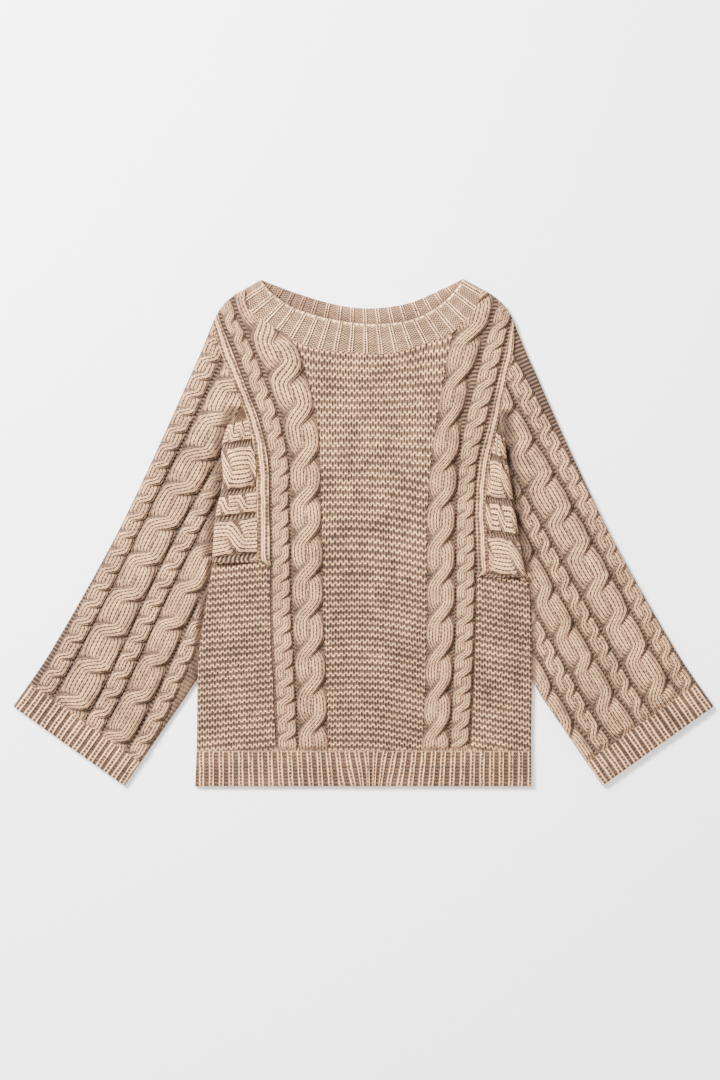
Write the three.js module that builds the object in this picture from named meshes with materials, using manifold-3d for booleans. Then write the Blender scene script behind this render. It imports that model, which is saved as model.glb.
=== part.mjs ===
// A cable knit sweater, laid flat on its back with the neck towards +Y.
// Millimetres, +Z up. Left and right are the wearer's, so the right sleeve is at -X.
import * as THREE from 'three';
import { mergeVertices } from 'three/addons/utils/BufferGeometryUtils.js';
import Module from 'manifold-3d';

const wasm = await Module();
wasm.setup();

// Heights above the floor
const CLOTH = 4;
const LAYER_GAP = 0.3;
const FRONT_UNDER = CLOTH + LAYER_GAP;
const FRONT_TOP = FRONT_UNDER + CLOTH + 0.3;
const SLEEVE_TOP = FRONT_TOP;
const NECK_BACK_TOP = 5;
const NECK_FRONT_UNDER = NECK_BACK_TOP + LAYER_GAP;
const NECK_FRONT_TOP = NECK_FRONT_UNDER + 3.6;
const ROLL_UNDER = 5.5;
const CEILING = 26;

// Relief of the knitting above the plain cloth
const SMALL_ROPE = 3;
const BIG_ROPE = 4.2;
const BAND_RIDGE = 2.4;
const RIB_RIDGE = 1.8;
const NECK_RIDGE = 2.2;
const NECK_BACK_RIDGE = 1;

// Pitches along the cables and across the ribs
const SMALL_PITCH = 23;
const BIG_PITCH = 51;
const HEM_RIB_PITCH = 13;
const CUFF_RIB_PITCH = 13;
const NECK_RIBS = 17;
const NECK_STEPS = 26;

// Main sizes
const HEM_SEAM_Y = -294;
const HEM_Y = -342;
const CUFF_DEPTH = 38;
const SEAM_GAP = 0.3;
const SLIT = 0.5;
const TUBE_EDGE = 4.5;
const BODY_REACH = 240;
const BAND_ROWS = 22;
const FOLD_WIDTH = 60;
const FOLD_ROWS = 30;
const FOLD_EDGE_DROP = 4;

const CENTRE_COLOUR = '#b89f8c';
const SLEEVE_COLOUR = '#bda695';
const NECK_COLOUR = '#c9b39e';

// Half widths of the front at each height: the armhole seam, the rib band beside it and the cables
const RIGHT_GUIDES = [
  { y: -294, armhole: 134, band: 118, smallOut: 111, smallIn: 89, bigOut: 87, bigIn: 49 },
  { y: -199, armhole: 137, band: 122, smallOut: 115, smallIn: 94, bigOut: 90, bigIn: 52 },
  { y: -99, armhole: 142, band: 126, smallOut: 121, smallIn: 99, bigOut: 95, bigIn: 56 },
  { y: -40, armhole: 143, band: 127, smallOut: 121, smallIn: 99, bigOut: 96, bigIn: 56 },
  { y: 40, armhole: 144, band: 128, smallOut: 121, smallIn: 101, bigOut: 98, bigIn: 59 },
  { y: 101, armhole: 146, band: 130, smallOut: 126, smallIn: 105, bigOut: 101, bigIn: 60 },
  { y: 151, armhole: 156, band: 142, smallOut: 135, smallIn: 112, bigOut: 106, bigIn: 64 },
  { y: 200, armhole: 174, band: 161, smallOut: 149, smallIn: 129, bigOut: 122, bigIn: 75 },
  { y: 250, armhole: 195, band: 180, smallOut: 167, smallIn: 148, bigOut: 142, bigIn: 92 },
  { y: 284, armhole: 203, band: 193, smallOut: 185, smallIn: 168, bigOut: 162, bigIn: 118 },
  { y: 345, armhole: 215, band: 209, smallOut: 205, smallIn: 188, bigOut: 184, bigIn: 150 },
];
const LEFT_GUIDES = [
  { y: -294, armhole: 163, band: 144, smallOut: 140, smallIn: 117, bigOut: 115, bigIn: 80 },
  { y: -199, armhole: 167, band: 153, smallOut: 145, smallIn: 121, bigOut: 119, bigIn: 84 },
  { y: -99, armhole: 170, band: 156, smallOut: 147, smallIn: 125, bigOut: 123, bigIn: 86 },
  { y: -40, armhole: 169, band: 156, smallOut: 148, smallIn: 125, bigOut: 123, bigIn: 86 },
  { y: 40, armhole: 165, band: 153, smallOut: 148, smallIn: 126, bigOut: 124, bigIn: 87 },
  { y: 101, armhole: 171, band: 159, smallOut: 155, smallIn: 130, bigOut: 127, bigIn: 92 },
  { y: 151, armhole: 182, band: 170, smallOut: 165, smallIn: 138, bigOut: 132, bigIn: 98 },
  { y: 200, armhole: 192, band: 180, smallOut: 177, smallIn: 151, bigOut: 142, bigIn: 106 },
  { y: 250, armhole: 202, band: 192, smallOut: 188, smallIn: 163, bigOut: 157, bigIn: 116 },
  { y: 284, armhole: 203, band: 199, smallOut: 196, smallIn: 174, bigOut: 168, bigIn: 122 },
  { y: 345, armhole: 215, band: 211, smallOut: 208, smallIn: 188, bigOut: 182, bigIn: 142 },
];

// Top edge of the garter block under each armhole, from the seam out to the side, then the side
const RIGHT_SIDE = [
  { x: 143, y: -32 },
  { x: 203, y: -42 },
  { x: 211, y: -91 },
  { x: 221, y: -159 },
  { x: 225, y: -294 },
  { x: 227, y: -342 },
];
const LEFT_SIDE = [
  { x: 169, y: -48 },
  { x: 223, y: -68 },
  { x: 225, y: -91 },
  { x: 227, y: -190 },
  { x: 226, y: -294 },
  { x: 227, y: -342 },
];
const SHOULDER = [
  { x: 203, y: 284 },
  { x: 198, y: 294 },
  { x: 189, y: 307 },
  { x: 173, y: 321 },
  { x: 160, y: 328 },
];

// The neckband's edges, from the wearer's right to the left
const NECK_FRONT_LOWER = [
  { x: -160, y: 328 },
  { x: -158, y: 309 },
  { x: -149, y: 296 },
  { x: -115, y: 273 },
  { x: -87, y: 256 },
  { x: -59, y: 248 },
  { x: -21, y: 243 },
  { x: 36, y: 241 },
  { x: 74, y: 252 },
  { x: 113, y: 265 },
  { x: 133, y: 283 },
  { x: 149, y: 300 },
  { x: 160, y: 328 },
];
const NECK_FRONT_UPPER = [
  { x: -138, y: 341 },
  { x: -128, y: 327 },
  { x: -114, y: 315 },
  { x: -94, y: 303 },
  { x: -59, y: 291 },
  { x: -16, y: 283 },
  { x: 14, y: 281 },
  { x: 45, y: 283 },
  { x: 74, y: 290 },
  { x: 104, y: 307 },
  { x: 124, y: 327 },
  { x: 134, y: 342 },
];
const NECK_BACK_LOWER = [
  { x: -156, y: 322 },
  { x: -130, y: 297 },
  { x: -90, y: 276 },
  { x: -45, y: 266 },
  { x: 0, y: 263 },
  { x: 45, y: 266 },
  { x: 90, y: 276 },
  { x: 130, y: 296 },
  { x: 156, y: 322 },
];
const NECK_BACK_UPPER = [
  { x: -138, y: 341 },
  { x: -99, y: 326 },
  { x: -59, y: 313 },
  { x: -18, y: 304 },
  { x: 22, y: 303 },
  { x: 63, y: 310 },
  { x: 103, y: 327 },
  { x: 134, y: 342 },
];
// Where the folded ends of the neckband join its two parts, for +X
const NECK_FOLD = [
  { x: 148, y: 331 },
  { x: 137, y: 337 },
  { x: 136, y: 324 },
  { x: 146, y: 314 },
];

// The sleeve's upper edge from the shoulder to the cuff, as half widths; both sleeves share it
const SLEEVE_EDGE = [
  { x: 203, y: 284 },
  { x: 218, y: 246 },
  { x: 236, y: 206 },
  { x: 254, y: 165 },
  { x: 291, y: 84 },
  { x: 330, y: 3 },
  { x: 374, y: -78 },
  { x: 421, y: -159 },
  { x: 448, y: -200 },
  { x: 472, y: -234 },
];
const CUFF_INNER = { x: 322, y: -341 };
const SLEEVE_INNER = { x: 238, y: -219 };
const SIDE_LEAVES_Y = -196;

// Columns of the sleeves: offsets in from the upper edge at three stations along it, the place
// where each cable starts to show and the place under the body or the fold where its cloth starts
const RIGHT_COLUMNS = [
  { rope: 'small', hidden: -20, start: 0, top: [2, 22], middle: [1, 25], end: [9, 34] },
  { rope: 'big', hidden: -5, start: 40, top: [38, 78], middle: [26, 70], end: [40, 88] },
  { rope: 'small', hidden: 20, start: 90, top: [86, 106], middle: [74, 95], end: [92, 115] },
  { rope: 'big', hidden: 60, start: 190, top: [112, 148], middle: [99, 134], end: [118, 156] },
  { rope: 'small', hidden: 100, start: 330, top: [156, 176], middle: [142, 162], end: [160, 181] },
];
const LEFT_COLUMNS = [
  { rope: 'small', hidden: -20, start: 0, top: [14, 36], middle: [1, 24], end: [4, 26] },
  { rope: 'big', hidden: -5, start: 40, top: [42, 82], middle: [28, 72], end: [29, 71] },
  { rope: 'small', hidden: 30, start: 100, top: [86, 108], middle: [75, 96], end: [74, 95] },
  { rope: 'big', hidden: 70, start: 190, top: [114, 150], middle: [99, 136], end: [98, 137] },
  { rope: 'small', hidden: 110, start: 330, top: [156, 176], middle: [142, 165], end: [140, 163] },
  { rope: 'big', hidden: 130, start: 420, top: [180, 216], middle: [168, 204], end: [168, 204] },
];
const COLUMN_STATIONS = { top: 90, middle: 290, end: 545 };

// The fold of each sleeve at the underarm: its free edge and how high it rides
const RIGHT_FOLD = [
  { y: -40, x: 204, rise: 8 },
  { y: 30, x: 198, rise: 9 },
  { y: 65, x: 190, rise: 9 },
  { y: 121, x: 190, rise: 7 },
  { y: 176, x: 170, rise: 1 },
];
const LEFT_FOLD = [
  { y: -60, x: 219, rise: 8 },
  { y: -16, x: 211, rise: 9 },
  { y: 50, x: 201, rise: 9 },
  { y: 120, x: 191, rise: 7 },
  { y: 172, x: 190, rise: 1 },
];
// Cables that run across each fold, low to high
const RIGHT_FOLD_BANDS = [
  { rope: 'big', from: -22, to: 20 },
  { rope: 'small', from: 28, to: 54 },
  { rope: 'big', from: 66, to: 118 },
];
const LEFT_FOLD_BANDS = [
  { rope: 'big', from: -50, to: -9 },
  { rope: 'small', from: 4, to: 42 },
  { rope: 'big', from: 46, to: 95 },
  { rope: 'small', from: 102, to: 128 },
];

// How far a panel's free edge is rounded in at each height above its underside
const FRONT_ROUNDING = [
  { z: 0, inset: 0.6 },
  { z: 1.2, inset: 0 },
  { z: 3, inset: 0.6 },
  { z: 5, inset: 3.5 },
  { z: 16, inset: 6 },
];
const NECK_ROUNDING = [
  { z: 0, inset: 0.4 },
  { z: 1.2, inset: 0 },
  { z: 3, inset: 0.5 },
  { z: 5, inset: 1.8 },
  { z: 9, inset: 2.4 },
];
const BACK_ROUNDING = [
  { z: 0, inset: 0.8 },
  { z: 1, inset: 0 },
  { z: CLOTH, inset: 0.4 },
];
const TUBE_ROUNDING = [
  { z: 0, inset: 1.8 },
  { z: 1.5, inset: 0.3 },
  { z: 4, inset: 0 },
  { z: 6.5, inset: 1 },
  { z: 8.6, inset: 3.5 },
  { z: 12, inset: 6 },
  { z: CEILING, inset: 7 },
];

const lerp = THREE.MathUtils.lerp;
const clamp = THREE.MathUtils.clamp;

// A value of a table's column at a height, straight between the rows and beyond them
function lookUp(table, key, value, column) {
  let row = table.findIndex((entry) => entry[key] > value);
  if (row < 0) row = table.length - 1;
  row = Math.max(row, 1);
  const low = table[row - 1];
  const high = table[row];
  return lerp(low[column], high[column], (value - low[key]) / (high[key] - low[key]));
}

const mirrored = (points, sign) => points.map((point) => ({ ...point, x: sign * point.x }));

const evenly = (from, to, count) => (
  Array.from({ length: count + 1 }, (_, index) => lerp(from, to, index / count)));

function smooth(points, count) {
  const spline = new THREE.SplineCurve(points.map((point) => new THREE.Vector2(point.x, point.y)));
  return spline.getPoints(count);
}

// Height of a two-strand rope: across runs from -1 to 1, turn counts the crossings along it.
// The strand on top climbs from the lower left to the upper right.
function rope(across, turn, height) {
  const phase = turn - Math.floor(turn);
  const swing = 0.5 * Math.cos(Math.PI * phase);
  const lift = 0.35 * Math.sin(Math.PI * phase);
  const strand = (centre) => Math.sqrt(Math.max(0, 1 - ((across - centre) / 0.56) ** 2));
  const over = (1 - 0.35 + lift) * strand(-swing);
  const under = (1 - 0.35 - lift) * strand(swing);
  return height * Math.max(over, under);
}

const ROPES = {
  small: { height: SMALL_ROPE, pitch: SMALL_PITCH, across: 4, rows: 3 },
  big: { height: BIG_ROPE, pitch: BIG_PITCH, across: 5, rows: 4 },
};

// Top of a piece of cloth, gathered as points and triangles that face up
class Surface {
  points = [];
  triangles = [];

  point(place, z) {
    return this.points.push([place.x, place.y, z]) - 1;
  }

  triangle(a, b, c) {
    const [p, q, r] = [a, b, c].map((index) => this.points[index]);
    const area = (q[0] - p[0]) * (r[1] - p[1]) - (q[1] - p[1]) * (r[0] - p[0]);
    this.triangles.push(area > 0 ? [a, b, c] : [a, c, b]);
  }

  line(places, z) {
    return places.map((place) => this.point(place, z));
  }

  // A line that is both sides of a strip of no width
  edge(places, z) {
    const line = this.line(places, z);
    return { first: line, last: line };
  }

  // Fills the gaps between strips that lie side by side
  join(strips) {
    strips.slice(1).forEach((strip, index) => this.zip(strips[index].last, strip.first));
  }

  // A row of points at each stop along a stretch, joined as a grid
  grid({ stops, across, place, height }) {
    const lines = stops.map((along) => Array.from({ length: across + 1 }, (_, column) => {
      const share = column / across;
      return this.point(place(along, share), height(along, share));
    }));
    for (let row = 0; row < stops.length - 1; row += 1) {
      for (let column = 0; column < across; column += 1) {
        const [a, b] = [lines[row][column], lines[row][column + 1]];
        const [c, d] = [lines[row + 1][column], lines[row + 1][column + 1]];
        this.triangle(a, b, d);
        this.triangle(a, d, c);
      }
    }
    return { first: lines.map((line) => line[0]), last: lines.map((line) => line.at(-1)) };
  }

  // Joins two lines of points that run side by side, each with its own spacing
  zip(a, b) {
    const gap = (i, j) => {
      const [p, q] = [this.points[a[i]], this.points[b[j]]];
      return Math.hypot(p[0] - q[0], p[1] - q[1]);
    };
    let i = 0;
    let j = 0;
    while (i < a.length - 1 || j < b.length - 1) {
      const stepA = i < a.length - 1 ? gap(i + 1, j) : Infinity;
      const stepB = j < b.length - 1 ? gap(i, j + 1) : Infinity;
      if (stepA < stepB) {
        this.triangle(a[i], a[i + 1], b[j]);
        i += 1;
      } else {
        this.triangle(a[i], b[j + 1], b[j]);
        j += 1;
      }
    }
  }

  // The solid between this surface and a flat underside
  solid(under) {
    const edges = new Map();
    for (const [a, b, c] of this.triangles) {
      for (const [from, to] of [[a, b], [b, c], [c, a]]) {
        if (edges.get(`${to},${from}`)) edges.delete(`${to},${from}`);
        else edges.set(`${from},${to}`, [from, to]);
      }
    }
    const next = new Map([...edges.values()]);
    const loop = [next.keys().next().value];
    while (next.get(loop.at(-1)) !== loop[0]) loop.push(next.get(loop.at(-1)));
    const count = this.points.length;
    const lower = loop.map((index) => [this.points[index][0], this.points[index][1], under]);
    const floor = THREE.ShapeUtils.triangulateShape(
      lower.map(([x, y]) => new THREE.Vector2(x, y)), []);
    const triangles = [...this.triangles];
    for (const [a, b, c] of floor) triangles.push([count + a, count + c, count + b]);
    loop.forEach((upper, index) => {
      const after = (index + 1) % loop.length;
      triangles.push([upper, count + index, count + after]);
      triangles.push([upper, count + after, loop[after]]);
    });
    return manifold([...this.points, ...lower], triangles);
  }
}

function manifold(points, triangles) {
  return new wasm.Manifold(new wasm.Mesh({
    numProp: 3,
    vertProperties: new Float32Array(points.flat()),
    triVerts: new Uint32Array(triangles.flat()),
  }));
}

// Moves each edge of an outline in by its own distance
function inset(outline, distance) {
  const normals = outline.map((point, index) => {
    const after = outline[(index + 1) % outline.length];
    const length = Math.hypot(after.x - point.x, after.y - point.y);
    return { x: -(after.y - point.y) / length, y: (after.x - point.x) / length };
  });
  return outline.map((point, index) => {
    const before = (index + outline.length - 1) % outline.length;
    const [n, m] = [normals[before], normals[index]];
    const [d, e] = [distance(outline[before]), distance(point)];
    const cross = n.x * m.y - n.y * m.x;
    if (Math.abs(cross) < 0.25) {
      const along = { x: n.x + m.x, y: n.y + m.y };
      const scale = (d + e) / (along.x ** 2 + along.y ** 2);
      return { x: point.x + along.x * scale, y: point.y + along.y * scale };
    }
    return { x: point.x + (d * m.y - e * n.y) / cross, y: point.y + (e * n.x - d * m.x) / cross };
  });
}

// A block over an outline, rounded in where the cloth's edge is free and upright at a seam
function block(outline, under, rounding) {
  const rings = rounding.map(({ z, inset: free }) => {
    const ring = inset(outline, (edge) => (edge.free ? free : SEAM_GAP / 2));
    return ring.map(({ x, y }) => [x, y, under + z]);
  });
  const count = outline.length;
  const cap = (ring) => THREE.ShapeUtils.triangulateShape(
    ring.map(([x, y]) => new THREE.Vector2(x, y)), []);
  const triangles = cap(rings[0]).map(([a, b, c]) => [a, c, b]);
  const top = (rings.length - 1) * count;
  for (const [a, b, c] of cap(rings.at(-1))) triangles.push([top + a, top + b, top + c]);
  for (let level = 0; level < rings.length - 1; level += 1) {
    for (let index = 0; index < count; index += 1) {
      const after = (index + 1) % count;
      const [a, b] = [level * count + index, level * count + after];
      triangles.push([a, b, b + count], [a, b + count, a + count]);
    }
  }
  return manifold(rings.flat(), triangles);
}

function mesh(name, colour, solid) {
  const result = solid.getMesh();
  const geometry = new THREE.BufferGeometry();
  geometry.setAttribute('position', new THREE.BufferAttribute(result.vertProperties, 3));
  geometry.setIndex(new THREE.BufferAttribute(result.triVerts, 1));
  const material = new THREE.MeshStandardMaterial({ color: colour, roughness: 0.95, metalness: 0 });
  const piece = new THREE.Mesh(mergeVertices(geometry, 0.002), material);
  piece.name = name;
  return piece;
}

// An outline is runs of points, counterclockwise. Each run starts where the one before it ends,
// and its edges are free or sewn to a neighbour; a tube stays open along a run that is its end.
const run = (points, { free = false, open = false } = {}) => ({ points, free, open });

const reflected = (runs) => runs.toReversed().map((piece) => ({
  ...piece, points: mirrored(piece.points, -1).toReversed(),
}));

const outlineOf = (runs) => runs.flatMap(({ points, free, open }) => (
  points.slice(0, -1).map(({ x, y }) => ({ x, y, free, open }))));

// The two sides of the sweater, each with its own measures
const RIGHT = {
  name: 'right', sign: -1, guides: RIGHT_GUIDES, side: RIGHT_SIDE,
  columns: RIGHT_COLUMNS, fold: RIGHT_FOLD, foldBands: RIGHT_FOLD_BANDS,
};
const LEFT = {
  name: 'left', sign: 1, guides: LEFT_GUIDES, side: LEFT_SIDE,
  columns: LEFT_COLUMNS, fold: LEFT_FOLD, foldBands: LEFT_FOLD_BANDS,
};

// The armhole seam from the side's corner in to the underarm and up to the shoulder
function armhole({ guides, side }) {
  const rows = guides.filter((row) => row.y > side[0].y && row.y < SHOULDER[0].y);
  const up = rows.map((row) => ({ x: row.armhole, y: row.y }));
  return [side[1], side[0], ...up, SHOULDER[0]];
}

// Runs of one half of the body for +X, from the hem seam up to the neck
function bodyRuns(half) {
  const edge = half.side.slice(1, -1).toReversed();
  return [run(edge, { free: true }), run(armhole(half)), run(SHOULDER, { free: true })];
}

function bodyOutline(neck) {
  const left = bodyRuns(LEFT);
  const right = reflected(bodyRuns(RIGHT));
  const [from, to] = [SHOULDER.at(-1), mirrored(SHOULDER, -1).at(-1)];
  const hem = [right.at(-1).points.at(-1), left[0].points[0]];
  return outlineOf([run(hem), ...left, run([from, ...neck.toReversed(), to]), ...right]);
}

// The front: flat garter blocks and centre, with bands and cables between them
function frontSheet() {
  const surface = new Surface();
  const top = RIGHT_GUIDES.at(-1).y;
  const bottom = HEM_SEAM_Y - 10;
  const grid = (half, outer, inner, settings) => surface.grid({
    place: (y, share) => {
      const across = half.sign < 0 ? share : 1 - share;
      const x = lerp(lookUp(half.guides, 'y', y, outer), lookUp(half.guides, 'y', y, inner), across);
      return { x: half.sign * x, y };
    },
    ...settings,
  });
  const cable = (half, kind, outer, inner) => {
    const { height, pitch, across, rows } = ROPES[kind];
    return grid(half, outer, inner, {
      stops: evenly(bottom, top, Math.round((top - bottom) / pitch * rows)),
      across,
      height: (y, share) => FRONT_TOP + rope(2 * share - 1, y / pitch, height),
    });
  };
  const band = (half) => grid(half, 'armhole', 'band', {
    stops: evenly(bottom, top, BAND_ROWS),
    across: 4,
    height: (_, share) => FRONT_TOP + BAND_RIDGE * Math.abs(Math.sin(2 * Math.PI * share)),
  });
  const strips = (half) => [
    band(half),
    cable(half, 'small', 'smallOut', 'smallIn'),
    cable(half, 'big', 'bigOut', 'bigIn'),
  ];
  surface.join([
    surface.edge([{ x: -BODY_REACH, y: bottom }, { x: -BODY_REACH, y: top }], FRONT_TOP),
    ...strips(RIGHT),
    ...strips(LEFT).toReversed(),
    surface.edge([{ x: BODY_REACH, y: bottom }, { x: BODY_REACH, y: top }], FRONT_TOP),
  ]);
  return surface.solid(FRONT_UNDER);
}

// Rib: ridges with a gap between them, that run from one edge of a stretch to the other
function ribs({ place, count, base, ridge, under }) {
  const profile = [0, 0, 1, 1];
  const surface = new Surface();
  surface.grid({
    stops: [0, 1],
    across: count * profile.length,
    place,
    height: (_, share) => {
      const step = Math.round(share * count * profile.length);
      return base + ridge * profile[step % profile.length];
    },
  });
  return surface.solid(under);
}

function hemOutline() {
  const left = LEFT_SIDE.slice(-2).toReversed();
  const right = mirrored(RIGHT_SIDE.slice(-2), -1);
  return outlineOf([
    run([right[1], left[0]], { free: true }),
    run(left, { free: true }),
    run([left[1], right[0]]),
    run(right, { free: true }),
  ]);
}

function frontHem() {
  const count = Math.round(2 * BODY_REACH / HEM_RIB_PITCH);
  const place = (along, share) => ({
    x: lerp(-BODY_REACH, BODY_REACH, share),
    y: lerp(HEM_Y - 6, HEM_SEAM_Y + 6, along),
  });
  const base = FRONT_TOP - RIB_RIDGE / 2;
  return ribs({ place, count, base, ridge: RIB_RIDGE, under: FRONT_UNDER });
}

// The sleeve's own frame: along its upper edge from the shoulder, and in from that edge
function sleeveFrame(sign) {
  const edge = new THREE.SplineCurve(mirrored(SLEEVE_EDGE, sign)
    .map(({ x, y }) => new THREE.Vector2(x, y)));
  const length = edge.getLength();
  return (along, offset) => {
    const share = clamp(along / length, 0, 1);
    const point = edge.getPointAt(share);
    const tangent = edge.getTangentAt(share);
    const past = along - share * length;
    return {
      x: point.x + tangent.x * past + sign * tangent.y * offset,
      y: point.y + tangent.y * past - sign * tangent.x * offset,
    };
  };
}

// Where the sleeve's edges meet the cuff's seam
function cuffSeam() {
  const up = (from, towards) => {
    const share = CUFF_DEPTH / Math.hypot(towards.x - from.x, towards.y - from.y);
    return { x: lerp(from.x, towards.x, share), y: lerp(from.y, towards.y, share) };
  };
  return { outer: up(SLEEVE_EDGE.at(-1), SLEEVE_EDGE.at(-2)), inner: up(CUFF_INNER, SLEEVE_INNER) };
}

// Runs of the sleeve for +X, from the cuff's seam up to the shoulder and back down beside the body
function sleeveRuns(half) {
  const { outer, inner } = cuffSeam();
  const edge = SLEEVE_EDGE.filter((point) => point.y > outer.y).toReversed();
  const hole = armhole(half).toReversed();
  const leaves = { x: lookUp(half.side.slice(1).toReversed(), 'y', SIDE_LEAVES_Y, 'x'), y: SIDE_LEAVES_Y };
  const beside = half.side.slice(1).filter((point) => point.y > SIDE_LEAVES_Y);
  return [
    run([inner, outer], { open: true }),
    run([outer, ...edge], { free: true }),
    run(hole.slice(0, -1), { open: true }),
    run(hole.slice(-2)),
    run([...beside, leaves]),
    run([leaves, SLEEVE_INNER, inner], { free: true }),
  ];
}

function sleeveSheet(half) {
  const surface = new Surface();
  const frame = sleeveFrame(half.sign);
  const { top, middle, end } = COLUMN_STATIONS;
  const last = end + 20;
  const line = (offset, from) => (
    surface.edge(evenly(from, last, 12).map((t) => frame(t, offset)), SLEEVE_TOP));
  const strips = half.columns.map((column) => {
    const { height, pitch, across, rows } = ROPES[column.rope];
    const stations = [
      { t: top, low: column.top[0], high: column.top[1] },
      { t: middle, low: column.middle[0], high: column.middle[1] },
      { t: end, low: column.end[0], high: column.end[1] },
    ];
    const count = Math.round((last - column.start) / pitch * rows);
    return surface.grid({
      stops: [column.hidden, ...evenly(column.start, last, count)],
      across,
      place: (t, share) => {
        const [low, high] = [lookUp(stations, 't', t, 'low'), lookUp(stations, 't', t, 'high')];
        return frame(t, lerp(low, high, share));
      },
      height: (t, share) => (t < column.start ? SLEEVE_TOP
        : SLEEVE_TOP + rope(half.sign * (1 - 2 * share), -t / pitch, height)),
    });
  });
  surface.join([line(-14, -30), ...strips, line(240, 150)]);
  return surface.solid(0);
}

// The fold at the underarm, where the sleeve's cables run straight out from the armhole seam
function foldSheet(half) {
  const surface = new Surface();
  const bandAt = (y) => half.foldBands.find((band) => y > band.from && y < band.to);
  surface.grid({
    stops: evenly(half.fold[0].y, half.fold.at(-1).y, FOLD_ROWS),
    across: 6,
    place: (y, share) => {
      const seamX = lookUp(half.guides, 'y', y, 'armhole') - 1;
      return { x: half.sign * lerp(seamX, lookUp(half.fold, 'y', y, 'x'), Math.sqrt(share)), y };
    },
    height: (y, share) => {
      const rise = lookUp(half.fold, 'y', y, 'rise') * Math.sin(share * Math.PI / 2);
      const drop = share === 1 ? FOLD_EDGE_DROP : 0;
      const band = bandAt(y);
      if (!band) return SLEEVE_TOP + rise - drop;
      const { height, pitch } = ROPES[band.rope];
      const across = 2 * (y - band.from) / (band.to - band.from) - 1;
      return SLEEVE_TOP + rise - drop + 0.7 * rope(across, share * FOLD_WIDTH / pitch, height);
    },
  });
  return surface.solid(ROLL_UNDER);
}

// A flat tube: its block less the hollow between its two walls, which is open at its ends
function tube(sheet, outline) {
  const hollow = inset(outline, (edge) => (edge.open ? -8 : TUBE_EDGE));
  const bounds = hollow.map(({ x, y }) => ({ x, y, free: true }));
  const middle = CLOTH + LAYER_GAP;
  const slit = block(bounds, middle - SLIT / 2, [{ z: 0, inset: 0 }, { z: SLIT, inset: 0 }]);
  return sheet.intersect(block(outline, 0, TUBE_ROUNDING)).subtract(slit);
}

const sided = (runs, half) => outlineOf(half.sign > 0 ? runs : reflected(runs));

const sleeve = (half) => tube(sleeveSheet(half).add(foldSheet(half)), sided(sleeveRuns(half), half));

function cuff(half) {
  const { outer, inner } = cuffSeam();
  const tip = SLEEVE_EDGE.at(-1);
  const count = Math.round(Math.hypot(tip.x - CUFF_INNER.x, tip.y - CUFF_INNER.y) / CUFF_RIB_PITCH);
  const between = (from, to, share) => ({ x: lerp(from.x, to.x, share), y: lerp(from.y, to.y, share) });
  const place = (along, share) => {
    const wide = lerp(-0.04, 1.04, share);
    const { x, y } = between(
      between(CUFF_INNER, tip, wide), between(inner, outer, wide), lerp(-0.2, 1.2, along));
    return { x: half.sign * x, y };
  };
  const base = SLEEVE_TOP - RIB_RIDGE / 2;
  const sheet = ribs({ place, count, base, ridge: RIB_RIDGE, under: 0 });
  return tube(sheet, sided([
    run([CUFF_INNER, tip], { open: true }),
    run([tip, outer], { free: true }),
    run([outer, inner], { open: true }),
    run([inner, CUFF_INNER], { free: true }),
  ], half));
}

// One part of the neckband: rib that runs from its lower edge to its upper edge
function neckPart(lower, upper, { under, base, ridge }) {
  const [low, high] = [smooth(lower, NECK_STEPS), smooth(upper, NECK_STEPS)];
  const at = (line, share) => {
    const index = Math.min(Math.floor(share * NECK_STEPS), NECK_STEPS - 1);
    return line[index].clone().lerp(line[index + 1], share * NECK_STEPS - index);
  };
  const place = (along, share) => at(low, share).lerp(at(high, share), lerp(-0.15, 1.15, along));
  const sheet = ribs({ place, count: NECK_RIBS, base, ridge, under });
  const outline = outlineOf([
    run(low),
    run([low.at(-1), high.at(-1)], { free: true }),
    run(high.toReversed(), { free: true }),
    run([high[0], low[0]], { free: true }),
  ]);
  return sheet.intersect(block(outline, under, NECK_ROUNDING));
}

// The neckband is one ring, folded where its front and back meet at the shoulders
function neckband() {
  const front = neckPart(NECK_FRONT_LOWER, NECK_FRONT_UPPER, {
    under: NECK_FRONT_UNDER, base: NECK_FRONT_TOP, ridge: NECK_RIDGE,
  });
  const back = neckPart(NECK_BACK_LOWER, NECK_BACK_UPPER, {
    under: 0, base: NECK_BACK_TOP - NECK_BACK_RIDGE, ridge: NECK_BACK_RIDGE,
  });
  const folds = [NECK_FOLD, mirrored(NECK_FOLD, -1).toReversed()].map((points) => block(
    outlineOf([run([...points, points[0]])]), 0, [
      { z: 0, inset: 0 },
      { z: NECK_FRONT_TOP - 1, inset: 0 },
    ]));
  return front.add(back).add(folds[0]).add(folds[1]);
}

const body = new THREE.Group();
body.add(
  mesh('front_panel', CENTRE_COLOUR, frontSheet().intersect(
    block(bodyOutline(smooth(NECK_FRONT_LOWER, NECK_STEPS).slice(1, -1)), FRONT_UNDER, FRONT_ROUNDING))),
  mesh('back_panel', CENTRE_COLOUR,
    block(bodyOutline(smooth(NECK_BACK_LOWER, NECK_STEPS)), 0, BACK_ROUNDING)),
  mesh('front_hem_rib', CENTRE_COLOUR,
    frontHem().intersect(block(hemOutline(), FRONT_UNDER, FRONT_ROUNDING))),
  mesh('back_hem_rib', CENTRE_COLOUR, block(hemOutline(), 0, BACK_ROUNDING)),
);
body.add(mesh('neckband', NECK_COLOUR, neckband()));
for (const half of [RIGHT, LEFT]) {
  body.add(
    mesh(`${half.name}_sleeve`, SLEEVE_COLOUR, sleeve(half)),
    mesh(`${half.name}_cuff`, SLEEVE_COLOUR, cuff(half)),
  );
}
export default body;
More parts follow.
